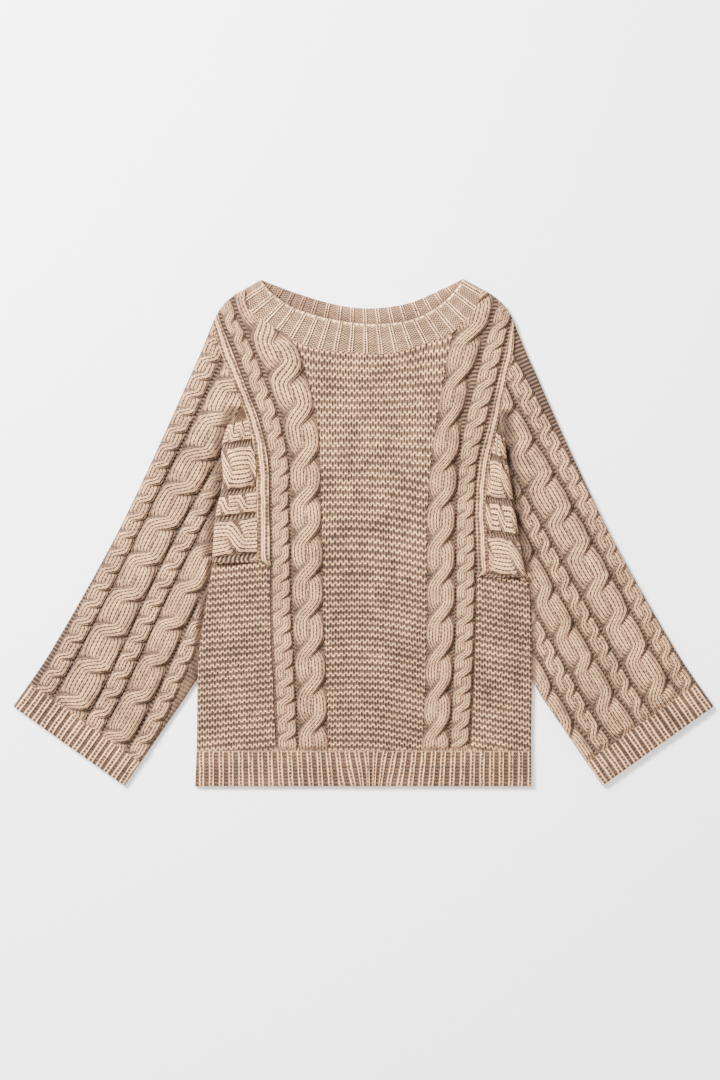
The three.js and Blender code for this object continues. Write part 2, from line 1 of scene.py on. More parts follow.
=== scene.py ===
"""The looks of a cable knit sweater that lies flat on its back, with the neck towards +Y.

Left and right are the wearer's, so the right sleeve is at -X. Sizes are in millimetres
and become metres where a mesh is made.
"""

import bpy
import numpy as np
from bpy.props import FloatProperty, FloatVectorProperty, PointerProperty
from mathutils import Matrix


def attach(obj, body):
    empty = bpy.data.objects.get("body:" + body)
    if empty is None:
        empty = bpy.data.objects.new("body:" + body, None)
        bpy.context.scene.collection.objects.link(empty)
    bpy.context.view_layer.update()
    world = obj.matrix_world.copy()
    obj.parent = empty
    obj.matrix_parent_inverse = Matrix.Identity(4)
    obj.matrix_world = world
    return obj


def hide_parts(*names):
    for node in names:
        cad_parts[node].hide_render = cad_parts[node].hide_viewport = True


bl_info = {
    "name": "Cable knit sweater",
    "version": (1, 0, 0),
    "blender": (4, 5, 0),
    "location": "View3D > Sidebar > Sweater",
    "description": "Knits the sweater's panels, bands and sleeves around their solids",
    "category": "Object",
}

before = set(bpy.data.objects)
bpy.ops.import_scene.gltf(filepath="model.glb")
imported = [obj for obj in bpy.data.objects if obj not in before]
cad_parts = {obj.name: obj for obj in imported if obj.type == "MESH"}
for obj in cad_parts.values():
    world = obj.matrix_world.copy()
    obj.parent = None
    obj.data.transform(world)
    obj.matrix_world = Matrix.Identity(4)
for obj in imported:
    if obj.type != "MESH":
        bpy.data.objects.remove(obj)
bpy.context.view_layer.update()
MM = 0.001


def table(names, *rows):
    """A short table as one array for each named column."""
    return dict(zip(names.split(), np.array(rows, float).T))


# Heights above the floor
CLOTH = 4.0
LAYER_GAP = 0.3
FRONT_UNDER = CLOTH + LAYER_GAP
FRONT_TOP = FRONT_UNDER + CLOTH + 0.3
FRONT_EDGE = 5.6
SLEEVE_TOP = FRONT_TOP
TUBE_EDGE_HEIGHT = 4.4
NECK_BACK_TOP = 5.0
NECK_FRONT_UNDER = NECK_BACK_TOP + LAYER_GAP
NECK_FRONT_TOP = NECK_FRONT_UNDER + 3.6
NECK_EDGE = 7.4
NECK_BACK_EDGE = 3.6
ROLL_UNDER = 5.5
PRESSED = 5.2
UNDER_SIDE = 5.4
CEILING = 40.0
FLOOR_DROP = 3.0

# Main sizes
HEM_SEAM_Y = -294.0
HEM_Y = -342.0
CUFF_DEPTH = 38.0
SEAM_GAP = 0.03
SLIT = 0.5
TUBE_RIM = 4.5
SHOULDER_Y = 284.0
BODY_TOP = 340.0
OVERLAP = 6.0
SIDE_LEAVES_Y = -196.0
NECK_STEPS = 52
CURVE_STEP = 7.0

# Stitches: widths across and rows along
GARTER_WIDTH = 7.2
RIDGE_LOW = 8.6
RIDGE_HIGH = 10.0
RIDGES_CHANGE_Y = -60.0
NECK_BOW = 45.0
# The centre's rows are highest here and drop to both sides, by this much for each square millimetre,
# but lie level above this height
ROWS_TOP_X = -18.0
ROWS_DROP = 0.0014
ROWS_LEVEL_Y = 180.0
KNIT_ROW = 5.3
GUTTER_DEPTH = 1.3
BAND_RISE = 2.2
STITCH_RISE = 1.0
# The garter's rise from its lowest point, the shade of the line along its ridges, where that line
# begins and over what height, and how its rows wander: amount, scale and seed
GARTER_LOW = -0.8
GARTER_RISE = 1.5
RIDGE_SHADE = 0.45
RIDGE_SHADE_Y = 150.0
ROWS_RUN = 200.0
ROW_WANDER = ((0.9, 46, 1), (0.5, 19, 2))

# Forms of the stitches, the same in the meshes and in the finishes
LEG_HOLE = 0.28
HOLE_POWER = 0.8
GROOVE_DEPTH = 0.5
GROOVE_WIDTH = 0.14
LOOP_SWAY = 0.16
LOOP_GAP = 0.45
GAP_POWER = 0.58
LOOP_LOW = 0.72
LOOP_SWELL = 0.56

# Spacing of the points of each kind of piece, across and along
CENTRE_STEP = (0.95, 1.4)
CABLE_STEP = (1.05, 1.2)
BLOCK_STEP = (1.0, 1.45)
HEM_STEP = (0.9, 1.0)
NECK_STEP = (0.8, 0.7)
SLEEVE_STEP = (1.12, 1.38)
FOLD_STEP = (1.2, 1.2)
CUFF_STEP = (0.9, 1.0)
BACK_STEP = (8.0, 2.2)

# Cables: rise above the cloth, pitch along, stitch columns in each strand, the share of the pitch
# on each side of a crossing in which the strands change places, and how far a crossing draws in
CABLES = {
    "small": {"rise": 4.4, "pitch": 23.6, "columns": 4, "swing": 0.34, "waist": 0.05},
    "big": {"rise": 5.8, "pitch": 51.2, "columns": 5, "swing": 0.32, "waist": 0.2},
    "sleeve small": {"rise": 4.6, "pitch": 26.0, "columns": 3, "swing": 0.3, "waist": 0.04},
    "sleeve big": {"rise": 6.4, "pitch": 52.0, "columns": 5, "swing": 0.24, "waist": 0.14},
}

# How far every cable reaches in its zone, the most of it that a strand takes at a crossing, how
# square a cable and its strand on top are, and the painted shade in the crease beside that strand:
# its reach on it, its reach off it, and how dark it is
CABLE_REACH = 1.1
STRAND_WIDEST = 0.84
CABLE_SQUARE = 4.4
STRAND_SQUARE = 4
CREASE = (0.08, 0.24)
CREASE_PAINTED_SHADE = 0.85

# The front's cables are drawn longer from this height up, by this share
CABLE_STRETCH_Y = 95.0
CABLE_STRETCH = 0.1

# Half widths of the front at each height: armhole seam, the band beside it and the cables
RIGHT_GUIDES = table(
    "y armhole band small_out small_in big_out big_in",
    (-294, 134, 118, 115, 89, 87, 47),
    (-199, 137, 122, 119, 93, 91, 50),
    (-99, 142, 126, 123, 98, 96, 54),
    (-40, 143, 125, 123, 99, 97, 54),
    (40, 144, 126, 124, 101, 99, 57),
    (101, 146, 128, 126, 102, 100, 58),
    (151, 156, 140, 137, 113, 110, 62),
    (200, 174, 159, 154, 131, 127, 73),
    (250, 195, 178, 172, 151, 147, 90),
    (284, 203, 192, 188, 168, 163, 117),
    (345, 215, 209, 205, 188, 184, 150),
)
LEFT_GUIDES = table(
    "y armhole band small_out small_in big_out big_in",
    (-294, 163, 144, 141, 117, 115, 79),
    (-199, 167, 153, 146, 121, 119, 83),
    (-99, 170, 156, 149, 125, 123, 85),
    (-40, 169, 153, 150, 125, 123, 85),
    (40, 165, 151, 149, 126, 124, 86),
    (101, 171, 157, 154, 130, 128, 91),
    (151, 182, 170, 165, 138, 132, 98),
    (200, 192, 180, 177, 151, 142, 106),
    (250, 202, 192, 188, 163, 157, 116),
    (284, 203, 199, 196, 174, 168, 122),
    (345, 215, 211, 208, 188, 182, 142),
)
# The band laps this far over the armhole's line. Below the underarm it narrows away: over a run, its
# two guides come this close to the small cable
BAND_LAP = 1.0
BAND_ENDS = {"armhole": 2.4, "band": 1.2}
BAND_RUN = 12.0
# Zones of the front between those guides, from the seam inwards
FRONT_ZONES = (
    ("band", "armhole", "band"),
    ("gutter", "band", "small_out"),
    ("small", "small_out", "small_in"),
    ("gutter", "small_in", "big_out"),
    ("big", "big_out", "big_in"),
)

# Corner of the garter block under each armhole, and the side from there down to the hem
RIGHT_CORNER = (143, -32)
LEFT_CORNER = (169, -48)
RIGHT_SIDE = table("x y", (203, -42), (211, -91), (221, -159), (225, -294), (227, -342))
LEFT_SIDE = table("x y", (223, -68), (225, -91), (227, -190), (226, -294), (227, -342))
SHOULDER = table("x y", (203, 284), (198, 294), (189, 307), (173, 321), (160, 328))

# The neckband's edges, from the wearer's right to the left
NECK_FRONT_LOWER = table(
    "x y", (-160, 328), (-158, 309), (-149, 296), (-115, 273), (-87, 256), (-59, 248), (-21, 243),
    (36, 241), (74, 252), (113, 265), (133, 283), (149, 300), (160, 328))
NECK_FRONT_UPPER = table(
    "x y", (-138, 341), (-128, 327), (-114, 315), (-94, 303), (-59, 291), (-16, 283),
    (14, 281), (45, 283), (74, 290), (104, 307), (124, 327), (134, 342))
NECK_BACK_LOWER = table(
    "x y", (-156, 322), (-130, 297), (-90, 276), (-45, 266), (0, 263), (45, 266), (90, 276),
    (130, 296), (156, 322))
NECK_BACK_UPPER = table(
    "x y", (-138, 341), (-99, 326), (-59, 313), (-18, 304), (22, 303), (63, 310), (103, 327),
    (134, 342))
# Where the folded ends of the neckband join its two parts, for +X
NECK_FOLD = table("x y", (148, 331), (137, 337), (136, 324), (146, 314))

# The sleeve's upper edge from the shoulder to the cuff, as half widths; both sleeves share it
SLEEVE_EDGE = table(
    "x y", (203, 284), (218, 246), (236, 206), (254, 165), (291, 84), (330, 3), (374, -78),
    (421, -159), (448, -200), (472, -234))
CUFF_INNER = (322.0, -341.0)
SLEEVE_INNER = (238.0, -219.0)
SLEEVE_TURNS = (-30.0, 565.0)
SLEEVE_REACH = (-14.0, 240.0)

# Columns of the sleeves: kind, one crossing along it, and its two sides as offsets in from the
# upper edge at each station along it
STATIONS = (90, 290, 545)
RIGHT_COLUMNS = (
    {"cable": "sleeve small", "crossing": 100, "low": (0, 0, 9), "high": (27, 25, 35)},
    {"cable": "sleeve big", "crossing": 118, "low": (32, 26, 38), "high": (85, 71, 89)},
    {"cable": "sleeve small", "crossing": 110, "low": (88, 73, 91), "high": (112, 97, 116)},
    {"cable": "sleeve big", "crossing": 227, "low": (115, 99, 118), "high": (155, 137, 158)},
    {"cable": "sleeve small", "crossing": 340, "low": (158, 140, 161), "high": (182, 163, 183)},
)
LEFT_COLUMNS = (
    {"cable": "sleeve small", "crossing": 100, "low": (13, -1, 3), "high": (39, 23, 27)},
    {"cable": "sleeve big", "crossing": 106, "low": (42, 26, 29), "high": (86, 73, 72)},
    {"cable": "sleeve small", "crossing": 110, "low": (89, 76, 74), "high": (112, 99, 96)},
    {"cable": "sleeve big", "crossing": 240, "low": (115, 101, 99), "high": (154, 138, 138)},
    {"cable": "sleeve small", "crossing": 340, "low": (157, 141, 141), "high": (180, 165, 164)},
    {"cable": "sleeve big", "crossing": 454, "low": (183, 168, 167), "high": (219, 205, 204)},
)

# The fold of each sleeve at the underarm: its free edge and how high it rides
RIGHT_FOLD = table("y x rise", (-40, 204, 8), (30, 198, 9), (65, 190, 9), (121, 190, 7), (176, 170, 1))
LEFT_FOLD = table("y x rise", (-60, 219, 8), (-16, 211, 9), (50, 201, 9), (120, 191, 7), (172, 190, 1))
# Cables that run across each fold, low to high
RIGHT_BANDS = (
    {"cable": "sleeve big", "low": -27, "high": 21, "crossing": 27},
    {"cable": "sleeve small", "low": 27, "high": 56, "crossing": 20},
    {"cable": "sleeve big", "low": 62, "high": 119, "crossing": 52},
    {"cable": "sleeve small", "low": 125, "high": 154, "crossing": 20},
)
LEFT_BANDS = (
    {"cable": "sleeve big", "low": -54, "high": -4, "crossing": 48},
    {"cable": "sleeve small", "low": 2, "high": 43, "crossing": 30},
    {"cable": "sleeve big", "low": 48, "high": 100, "crossing": 48},
    {"cable": "sleeve small", "low": 105, "high": 137, "crossing": 25},
)
FOLD_WIDTH = 62.0
FOLD_LIP = 7.0
FOLD_LEAN = 0.12
# The folds lie highest and get this much painted light
FOLD_PAINTED_LIGHT = 1.18
# Shares of each fold's width that lie flat and that turn down
FOLD_FLAT = 0.8
FOLD_TURN = 0.2
# The trough beside each fold: its width, its depth and the painted shade in it
TROUGH = 9.0
TROUGH_DEPTH = 2.0
TROUGH_SHADE = 0.7
# How far the sleeve sinks beside the body and takes painted shade there, how dark that shade is,
# and how far it levels at the cuff
UNDER_REACH = 10.0
UNDER_SHADE = 0.55
CUFF_REACH = 9.0
# How far from the hem's seam the front levels: the cables from further off than the rest
SEAM_REACH = 3.0
CABLE_SEAM_REACH = 8.0

RIGHT = {
    "name": "right", "sign": -1, "guides": RIGHT_GUIDES, "corner": RIGHT_CORNER, "side": RIGHT_SIDE,
    "columns": RIGHT_COLUMNS, "fold": RIGHT_FOLD, "bands": RIGHT_BANDS,
    "crossings": {"small": 10.0, "big": -2.0}, "rows_drop": 0.1, "block": (107, 265),
}
LEFT = {
    "name": "left", "sign": 1, "guides": LEFT_GUIDES, "corner": LEFT_CORNER, "side": LEFT_SIDE,
    "columns": LEFT_COLUMNS, "fold": LEFT_FOLD, "bands": LEFT_BANDS,
    "crossings": {"small": 0.0, "big": -7.4}, "rows_drop": 0.2, "block": (80, 240),
}
HALVES = (RIGHT, LEFT)

# Ribs: pitch, share of it that is knitted, rise of that share, height of a row, how far the
# hollow's rows zigzag and how light the painted shade in the hollow leaves it
HEM_RIB = {"pitch": 13.0, "knitted": 0.58, "rise": 1.9, "row": 4.6, "squiggle": 0.5, "shade": 0.5}
CUFF_RIB = {"pitch": 13.0, "knitted": 0.68, "rise": 1.9, "row": 4.6, "squiggle": 0.5, "shade": 0.34}
NECK_RIB = {"knitted": 0.32, "rise": 2.0, "row": 3.6, "squiggle": 0.9, "shade": 0.84}
NECK_RIBS = 19
BACK_NECK_RIBS = 17.4
# The neckband's sheet from below its lower edge to above its upper one, in shares of its depth, and
# the beads along its upper edge: their spacing, how far in they lie and how wide their row is
NECK_SPAN = (-0.12, 1.12)
NECK_BEAD = 9.3
BEAD_PLACE = 2.2
BEAD_WIDTH = 1.8
NECK_RADIUS = 3.0
# The cuff's sheet past its corners, across and along, in shares of its sizes
CUFF_SPANS = ((-0.04, 1.04), (-0.15, 1.15))
# How far the hem's ribs lean to the left for each millimetre down, at places across it
HEM_LEAN = table("x lean", (-230, 0.02), (-120, -0.04), (-40, -0.1), (0, -0.16), (22, 0.14), (60, 0.12),
                 (140, 0.03), (230, 0.01))

# Rims of the blocks that trim the panels: height and how far the free edge lies in
FRONT_RIM = ((FRONT_UNDER, 0.6), (FRONT_UNDER + 1.2, 0), (CEILING, 0))
BACK_RIM = ((-1, 0.8), (0, 0.8), (1, 0), (CLOTH - 0.8, 0), (CLOTH, 0.5))
NECK_FRONT_RIM = ((NECK_FRONT_UNDER, 0.5), (NECK_FRONT_UNDER + 1, 0), (CEILING, 0))
NECK_BACK_RIM = ((0, 0.5), (1, 0), (CEILING, 0))
TUBE_RIM_RINGS = ((0, 1.8), (0.7, 0.7), (1.8, 0.1), (3, 0), (CEILING, 0))
# How far the hollow of a flat tube runs out at its open ends
TUBE_PAST = 8.0

# Faces: the angle that still shades smooth, how far down one faces to be an underside, and how high
# an underside may lie to rest on the floor
SMOOTH_ANGLE = 0.9
FACING_DOWN = -0.8
RESTING = 1.2

# Tones at which the yarn reaches its full colour and the painted light of its crests, and how much
# patches, fuzz and loops vary it
YARN_TONE = 0.72
CREST_TONE = 1.05
PATCH_DEPTH = 0.4
FUZZ_DEPTH = 0.45
LOOP_DEPTH = 0.16

# Soft lights: place in metres, power in watts and size in metres; then the room and the camera
LIGHTS = {"key": ((-1.7, 1.6, 2.2), 520, 1.0), "fill": ((1.9, -0.6, 2.4), 30, 2.4)}
ROOM_LIGHT = 1.45
FLOOR_SIZE = 12
FLOOR_Z = -0.0005
CAMERA_PLACE = (-0.0047, -0.010)


# Curves and tables

def mix(low, high, share):
    return low + (high - low) * share


def part_of(value):
    return value - np.floor(value)


def ease(value):
    share = np.clip(value, 0, 1)
    return share * share * (3 - 2 * share)


def evenly(start, stop, step):
    return np.linspace(start, stop, max(2, int(round(abs(stop - start) / step)) + 1))


def follow(keys, values, along):
    """A smooth line through a table's values, and straight beyond its ends."""
    keys, values = np.asarray(keys, float), np.asarray(values, float)
    if keys[0] > keys[-1]:
        keys, values = keys[::-1], values[::-1]
    slopes = np.gradient(values, keys)
    inside = np.clip(along, keys[0], keys[-1])
    index = np.clip(np.searchsorted(keys, inside) - 1, 0, len(keys) - 2)
    step = keys[index + 1] - keys[index]
    share = (inside - keys[index]) / step
    rest = 1 - share
    line = values[index] * (1 + 2 * share) * rest**2 + values[index + 1] * (1 + 2 * rest) * share**2
    line += step * share * rest * (slopes[index] * rest - slopes[index + 1] * share)
    return line + (along - inside) * np.where(along < keys[0], slopes[0], slopes[-1])


def guide(half, name, y):
    line = follow(half["guides"]["y"], half["guides"][name], y)
    if name not in BAND_ENDS:
        return line
    ended = guide(half, "small_out", y) + BAND_ENDS[name]
    return mix(line, ended, ease((half["corner"][1] - 3 - y) / BAND_RUN))


def points_of(rows):
    return np.stack([rows["x"], rows["y"]], 1)


def smooth(points, count):
    """Points of a curve that runs through the given ones."""
    padded = np.concatenate([points[:1], points, points[-1:]])
    place = np.linspace(0, len(points) - 1, count + 1)
    index = np.minimum(place.astype(int), len(points) - 2)
    share = (place - index)[:, None]
    a, b, c, d = (padded[index + step] for step in range(4))
    line = b + 0.5 * share * (c - a)
    line += share**2 * (a - 2.5 * b + 2 * c - 0.5 * d)
    return line + share**3 * (1.5 * (b - c) + 0.5 * (d - a))


def evened(line, count):
    """A line's points again, at even distances along it."""
    steps = np.linalg.norm(np.diff(line, axis=0), axis=1)
    length = np.concatenate([[0], np.cumsum(steps)])
    places = np.linspace(0, length[-1], count)
    return np.stack([np.interp(places, length, column) for column in line.T], 1)


def drift(x, y, scale, seed):
    """A slow unevenness from -1 to 1."""
    u, v = x / scale + 1.7 * seed, y / scale - 2.3 * seed
    return (np.sin(u + 0.7 * np.sin(v)) + np.sin(0.83 * v + 1.9 * np.sin(0.61 * u))) / 2


# Stitches

def stocking(column, row):
    """Height of knit stitches, from 0 in the hole between a stitch's two legs to 1."""
    aside = np.abs(part_of(column) - 0.5)
    apart = np.abs(part_of(row + 0.5 * np.floor(column)) - 0.5)
    hole = np.maximum(0, 1 - (aside / LEG_HOLE) ** 2) * (1 - (2 * apart) ** 4)
    groove = GROOVE_DEPTH * np.maximum(0, 1 - (0.5 - aside) / GROOVE_WIDTH)
    return (1 - hole**HOLE_POWER) * (1 - groove)


def garter(column, row):
    """Height of garter stitch: wavy ridges, and upright loops with deep gaps between them."""
    shift = LOOP_SWAY * np.clip(2 * np.sin(2 * np.pi * column), -1, 1)
    aside = np.abs(part_of(2 * column) - 0.5) / LOOP_GAP
    apart = np.abs(part_of(row + shift) - 0.5)
    gap = np.maximum(0, 1 - aside**2) * np.maximum(0, 1 - (apart / LOOP_GAP) ** 2)
    return (1 - gap**GAP_POWER) * (LOOP_LOW + LOOP_SWELL * apart)


def crown(across, power=2.2):
    return np.maximum(0, 1 - np.abs(across) ** power) ** 0.55


class Knit:
    """What a stretch of knitting looks like: its rise, its stitches, the painted shade and light on it,
    and whether it shows knit columns."""

    def __init__(self, rise, column, row, painted_shading, knitted):
        self.fields = np.broadcast_arrays(rise, column, row, painted_shading, knitted)
        self.rise = self.fields[0]


def rungs(along):
    """The bars of purl ground, one for each row."""
    return (0.5 + 0.5 * np.cos(2 * np.pi * along / KNIT_ROW)) ** 1.5


def cable(share, along, width, settings):
    """A two-strand cable. The strand on top climbs from the lower left to the upper right."""
    pitch, reach = settings["pitch"], settings["swing"]
    turn = along / pitch + 0.5
    phase = part_of(turn)
    across = (2 * share - 1) / (CABLE_REACH - settings["waist"] * np.cos(np.pi * (phase - 0.5)) ** 2)
    lean = np.pi / 2 * np.clip((phase - 0.5) / reach, -1, 1)
    centre, lift = 0.5 * np.sin(lean), np.cos(lean)
    steep = np.pi / 8 / (reach * pitch)
    slope = width * steep * lift
    stretch = np.sqrt(1 + slope**2)
    half = np.minimum(0.5 * stretch, STRAND_WIDEST)

    steps = np.linspace(0, 1, 65)
    sway = np.cos(np.pi / 2 * np.clip((steps - 0.5) / reach, -1, 1))
    lengths = np.sqrt(1 + (np.mean(width) * steep * sway) ** 2)
    travelled = np.concatenate([[0], np.cumsum((lengths[1:] + lengths[:-1]) / 2)]) * pitch / 64
    length = np.floor(turn) * travelled[-1] + np.interp(phase, steps, travelled)

    def strand(side):
        inside = (across - side * centre) / half
        aside = (across - side * centre) * width / 2
        row = (length + aside * side * slope / stretch) / KNIT_ROW
        return inside, (np.clip(inside, -1, 1) + 1) / 2 * settings["columns"], row

    over, over_column, over_row = strand(1)
    under_column, under_row = strand(-1)[1:]
    top = np.abs(over) < 1
    column = np.where(top, over_column, under_column)
    row = np.where(top, over_row, under_row)
    body = crown(across / (np.abs(centre) + half), CABLE_SQUARE)
    low, high = 0.8 - 0.45 * lift, 0.8 + 0.2 * lift
    height = body * mix(low, high, crown(over, STRAND_SQUARE))
    crease = lift * np.exp(-np.abs(np.abs(over) - 1) / np.where(top, *CREASE))
    fade = np.clip(body * 2.5, 0, 1)
    rise = -GUTTER_DEPTH + (settings["rise"] + GUTTER_DEPTH) * height
    rise = rise + STITCH_RISE * fade * (stocking(column, row) - 0.5)
    beyond = np.clip((np.abs(across) - np.abs(centre) - half) / 0.1, 0, 1)
    bars = beyond * rungs(along)
    # Painted shading: darker towards the cable's edges and in the crease beside the strand on top, lighter
    # on the rungs of the ground beside it
    painted_shading = (0.03 + 0.98 * body**0.8) * (1 - CREASE_PAINTED_SHADE * crease) + 0.3 * bars
    return Knit(rise + 0.6 * bars, column, row, painted_shading, fade)


def gutter(share, along, width):
    """The purl ground beside a cable, as the rungs of a ladder."""
    bars = rungs(along)
    walls = np.abs(2 * share - 1) ** 2
    rise = -GUTTER_DEPTH + 0.9 * bars * (1 - walls)
    # Painted shade between the rungs, which lie lighter
    return Knit(rise, share * width / GARTER_WIDTH, along / KNIT_ROW, 0.8 * bars - 0.2, 0)


def band(share, along, width):
    """Two raised knit columns beside the armhole seam."""
    body = crown(2 * share - 1, 8) * np.clip((width - 2.2) / 2.5, 0, 1)
    column, row = 2 * share, along / KNIT_ROW
    rise = -GUTTER_DEPTH + (BAND_RISE + GUTTER_DEPTH) * body
    rise = rise + STITCH_RISE * body * (stocking(column, row) - 0.5)
    # Painted shade towards the sides of the raised columns
    return Knit(rise, column, row, 0.1 + 0.93 * body, body)


def purl(x, along):
    """Plain purl ground: short bumps in rows, each row half a stitch aside."""
    column, row = x / (GARTER_WIDTH / 2), along / KNIT_ROW
    beside = np.cos(2 * np.pi * column + np.pi * np.floor(row))
    bumps = (0.5 + 0.5 * np.cos(2 * np.pi * row)) * (0.6 + 0.4 * beside)
    # Painted shade between the bumps
    return Knit(-GUTTER_DEPTH + 0.9 * bumps, column, row, 0.06 + 0.6 * bumps, 0)


def rib(count, along, settings):
    """Rib: a raised knit column, then a hollow where the yarn runs in squiggles."""
    place = part_of(count)
    knitted = settings["knitted"]
    row = along / settings["row"]
    inside = place < knitted
    column = np.where(inside, place / knitted, 0)
    body = crown(2 * place / knitted - 1, 5) * inside
    hollow = np.clip((place - knitted) / (1 - knitted), 0, 1)
    waves = np.abs(2 * part_of(2 * hollow) - 1)
    squiggle = 0.5 + 0.5 * np.cos(2 * np.pi * (row + settings["squiggle"] * waves))
    floor = 0.5 * squiggle * np.sin(np.pi * hollow)
    rise = settings["rise"] * body + np.where(inside, 0, floor) - settings["rise"] / 2
    rise = rise + 0.8 * STITCH_RISE * body * (stocking(column, row) - 0.5)
    # Painted shading: the knit column darker towards its sides, the hollow dark between its squiggles
    painted_shading = np.where(inside, 0.2 + 0.95 * body, settings["shade"] * (1.12 * squiggle**1.4 - 0.12))
    return Knit(rise, column, row, painted_shading, body)


def garter_ground(x, y, drop):
    """Garter stitch: its ridges lie closer towards the hem, bow with the neckline and drop aside."""
    neck = follow(NECK_FRONT_LOWER["x"][1:-1], NECK_FRONT_LOWER["y"][1:-1], x)
    bowed = (neck - NECK_FRONT_LOWER["y"].min()) * np.exp(-np.maximum(0, neck - y) / NECK_BOW)
    wander = sum(amount * drift(x, y, scale, seed) for amount, scale, seed in ROW_WANDER)
    level = y + wander - bowed + drop
    low = level / RIDGE_LOW
    high = RIDGES_CHANGE_Y / RIDGE_LOW + (level - RIDGES_CHANGE_Y) / RIDGE_HIGH
    row = np.where(level < RIDGES_CHANGE_Y, low, high)
    column = (x + 0.7 * drift(x, y, 33, 3)) / GARTER_WIDTH
    height = garter(column, row)
    # A line of painted shade along each row, stronger towards the hem
    line = np.exp(-((part_of(row) - 0.5) / 0.2) ** 2) * ease((RIDGE_SHADE_Y - y) / ROWS_RUN)
    return Knit(GARTER_LOW + GARTER_RISE * height, column, row, 1 - RIDGE_SHADE * line, 0)


# Sheets of points

class Sheet:
    """A knitted surface in rows and columns of points."""

    def __init__(self, x, y, z, knit):
        column, row, painted_shading, knitted = knit.fields[1:]
        fields = np.broadcast_arrays(x, y, z, column, row, painted_shading, knitted)
        self.fields = [np.array(field, float) for field in fields]

    @property
    def x(self):
        return self.fields[0]

    @property
    def y(self):
        return self.fields[1]

    @property
    def z(self):
        return self.fields[2]

    @z.setter
    def z(self, value):
        self.fields[2] = value

    @property
    def painted_shading(self):
        return self.fields[5]

    @painted_shading.setter
    def painted_shading(self, value):
        self.fields[5] = value

    # Paints shade on the sheet by a share; a negative share paints light instead
    def paint_shading(self, share):
        self.painted_shading = self.painted_shading * (1 - share)


def shares_of(width, step):
    """Places from 0 to 1 across a zone, about one step apart."""
    count = max(3, int(np.mean(width) / step))
    return np.linspace(0, 1, count + 1)[None, :]


def side_by_side(sheets):
    """Joins sheets that share their rows into one, column after column."""
    joined = sheets[0]
    for sheet in sheets[1:]:
        joined.fields = [np.concatenate([a, b[:, 1:]], 1) for a, b in zip(joined.fields, sheet.fields)]
    return joined


def distance_to(x, y, lines):
    """How far each point lies from the nearest of some lines of points."""
    nearest = np.full(x.shape, 1e9)
    for line in lines:
        for (ax, ay), (bx, by) in zip(line[:-1], line[1:]):
            length = (bx - ax) ** 2 + (by - ay) ** 2
            share = np.clip(((x - ax) * (bx - ax) + (y - ay) * (by - ay)) / length, 0, 1)
            gap = np.hypot(x - ax - share * (bx - ax), y - ay - share * (by - ay))
            np.minimum(nearest, gap, out=nearest)
    return nearest


def inside_of(x, y, outline):
    """Which points lie within an outline."""
    within = np.zeros(x.shape, bool)
    for (ax, ay), (bx, by) in zip(outline, np.roll(outline, -1, axis=0)):
        if ay != by:
            crosses = (ay > y) != (by > y)
            within ^= crosses & (x < ax + (y - ay) / (by - ay) * (bx - ax))
    return within


def round_off(sheet, outline, edge_height, radius):
    """Rolls a sheet down towards the free edges of its outline, and lets it run on past the seams."""
    free = [piece["points"] for piece in outline if piece["free"]]
    seams = [piece["points"] for piece in outline if not piece["free"]]
    gap = distance_to(sheet.x, sheet.y, free)
    outside = ~inside_of(sheet.x, sheet.y, corners_of(outline))
    beyond = gap[outside]
    past = beyond < distance_to(sheet.x[outside], sheet.y[outside], seams)
    gap[outside] = np.where(past, 0, beyond)
    fall = np.sqrt(1 - (1 - np.clip(gap / radius, 0, 1)) ** 2)
    sheet.z = edge_height + (sheet.z - edge_height) * fall


def settle(sheet, reach):
    """Levels a sheet towards the hem's seam, and evens out its painted shading there."""
    near = 1 - ease(np.abs(sheet.y - HEM_SEAM_Y) / reach)
    sheet.z = mix(sheet.z, FRONT_TOP, near)
    sheet.painted_shading = mix(sheet.painted_shading, 0.8, near)


# Outlines, as runs of points, counterclockwise; each run starts where the one before it ends

def run(points, free=False, opened=False):
    return {"points": np.array(points, float), "free": free, "open": opened}


def reflected(runs):
    return [run(piece["points"][::-1] * (-1, 1), piece["free"], piece["open"]) for piece in runs[::-1]]


def corners_of(outline):
    return np.concatenate([piece["points"][:-1] for piece in outline])


def marks_of(outline, name):
    return np.concatenate([np.full(len(piece["points"]) - 1, piece[name]) for piece in outline])


def sided(runs, half):
    return runs if half["sign"] > 0 else reflected(runs)


def side_line(half, low, high):
    """The free side of the body between two heights, low to high."""
    ys = evenly(low, high, CURVE_STEP)
    return np.stack([follow(half["side"]["y"], half["side"]["x"], ys), ys], 1)


def armhole_line(half):
    """The armhole seam from the underarm up to the shoulder."""
    ys = evenly(half["corner"][1], SHOULDER_Y, CURVE_STEP)
    xs = guide(half, "armhole", ys)
    xs[0] = half["corner"][0]
    return np.stack([xs, ys], 1)


def body_runs(half):
    """One half of the body for +X, from the hem seam up to the neck."""
    side = side_line(half, HEM_SEAM_Y, half["side"]["y"][0])
    hole = armhole_line(half)
    shoulder = smooth(points_of(SHOULDER), 8)
    return [run(side, free=True), run([side[-1], hole[0]]), run(hole), run(shoulder, free=True)]


def body_outline(neck):
    left, right = body_runs(LEFT), reflected(body_runs(RIGHT))
    top = [left[-1]["points"][-1], *neck[1:-1][::-1], right[0]["points"][0]]
    hem = [right[-1]["points"][-1], left[0]["points"][0]]
    return [run(hem), *left, run(top), *right]


def hem_outline():
    left = side_line(LEFT, HEM_Y, HEM_SEAM_Y)
    right = side_line(RIGHT, HEM_Y, HEM_SEAM_Y)[::-1] * (-1, 1)
    return [
        run([right[-1], left[0]], free=True),
        run(left, free=True),
        run([left[-1], right[0]]),
        run(right, free=True),
    ]


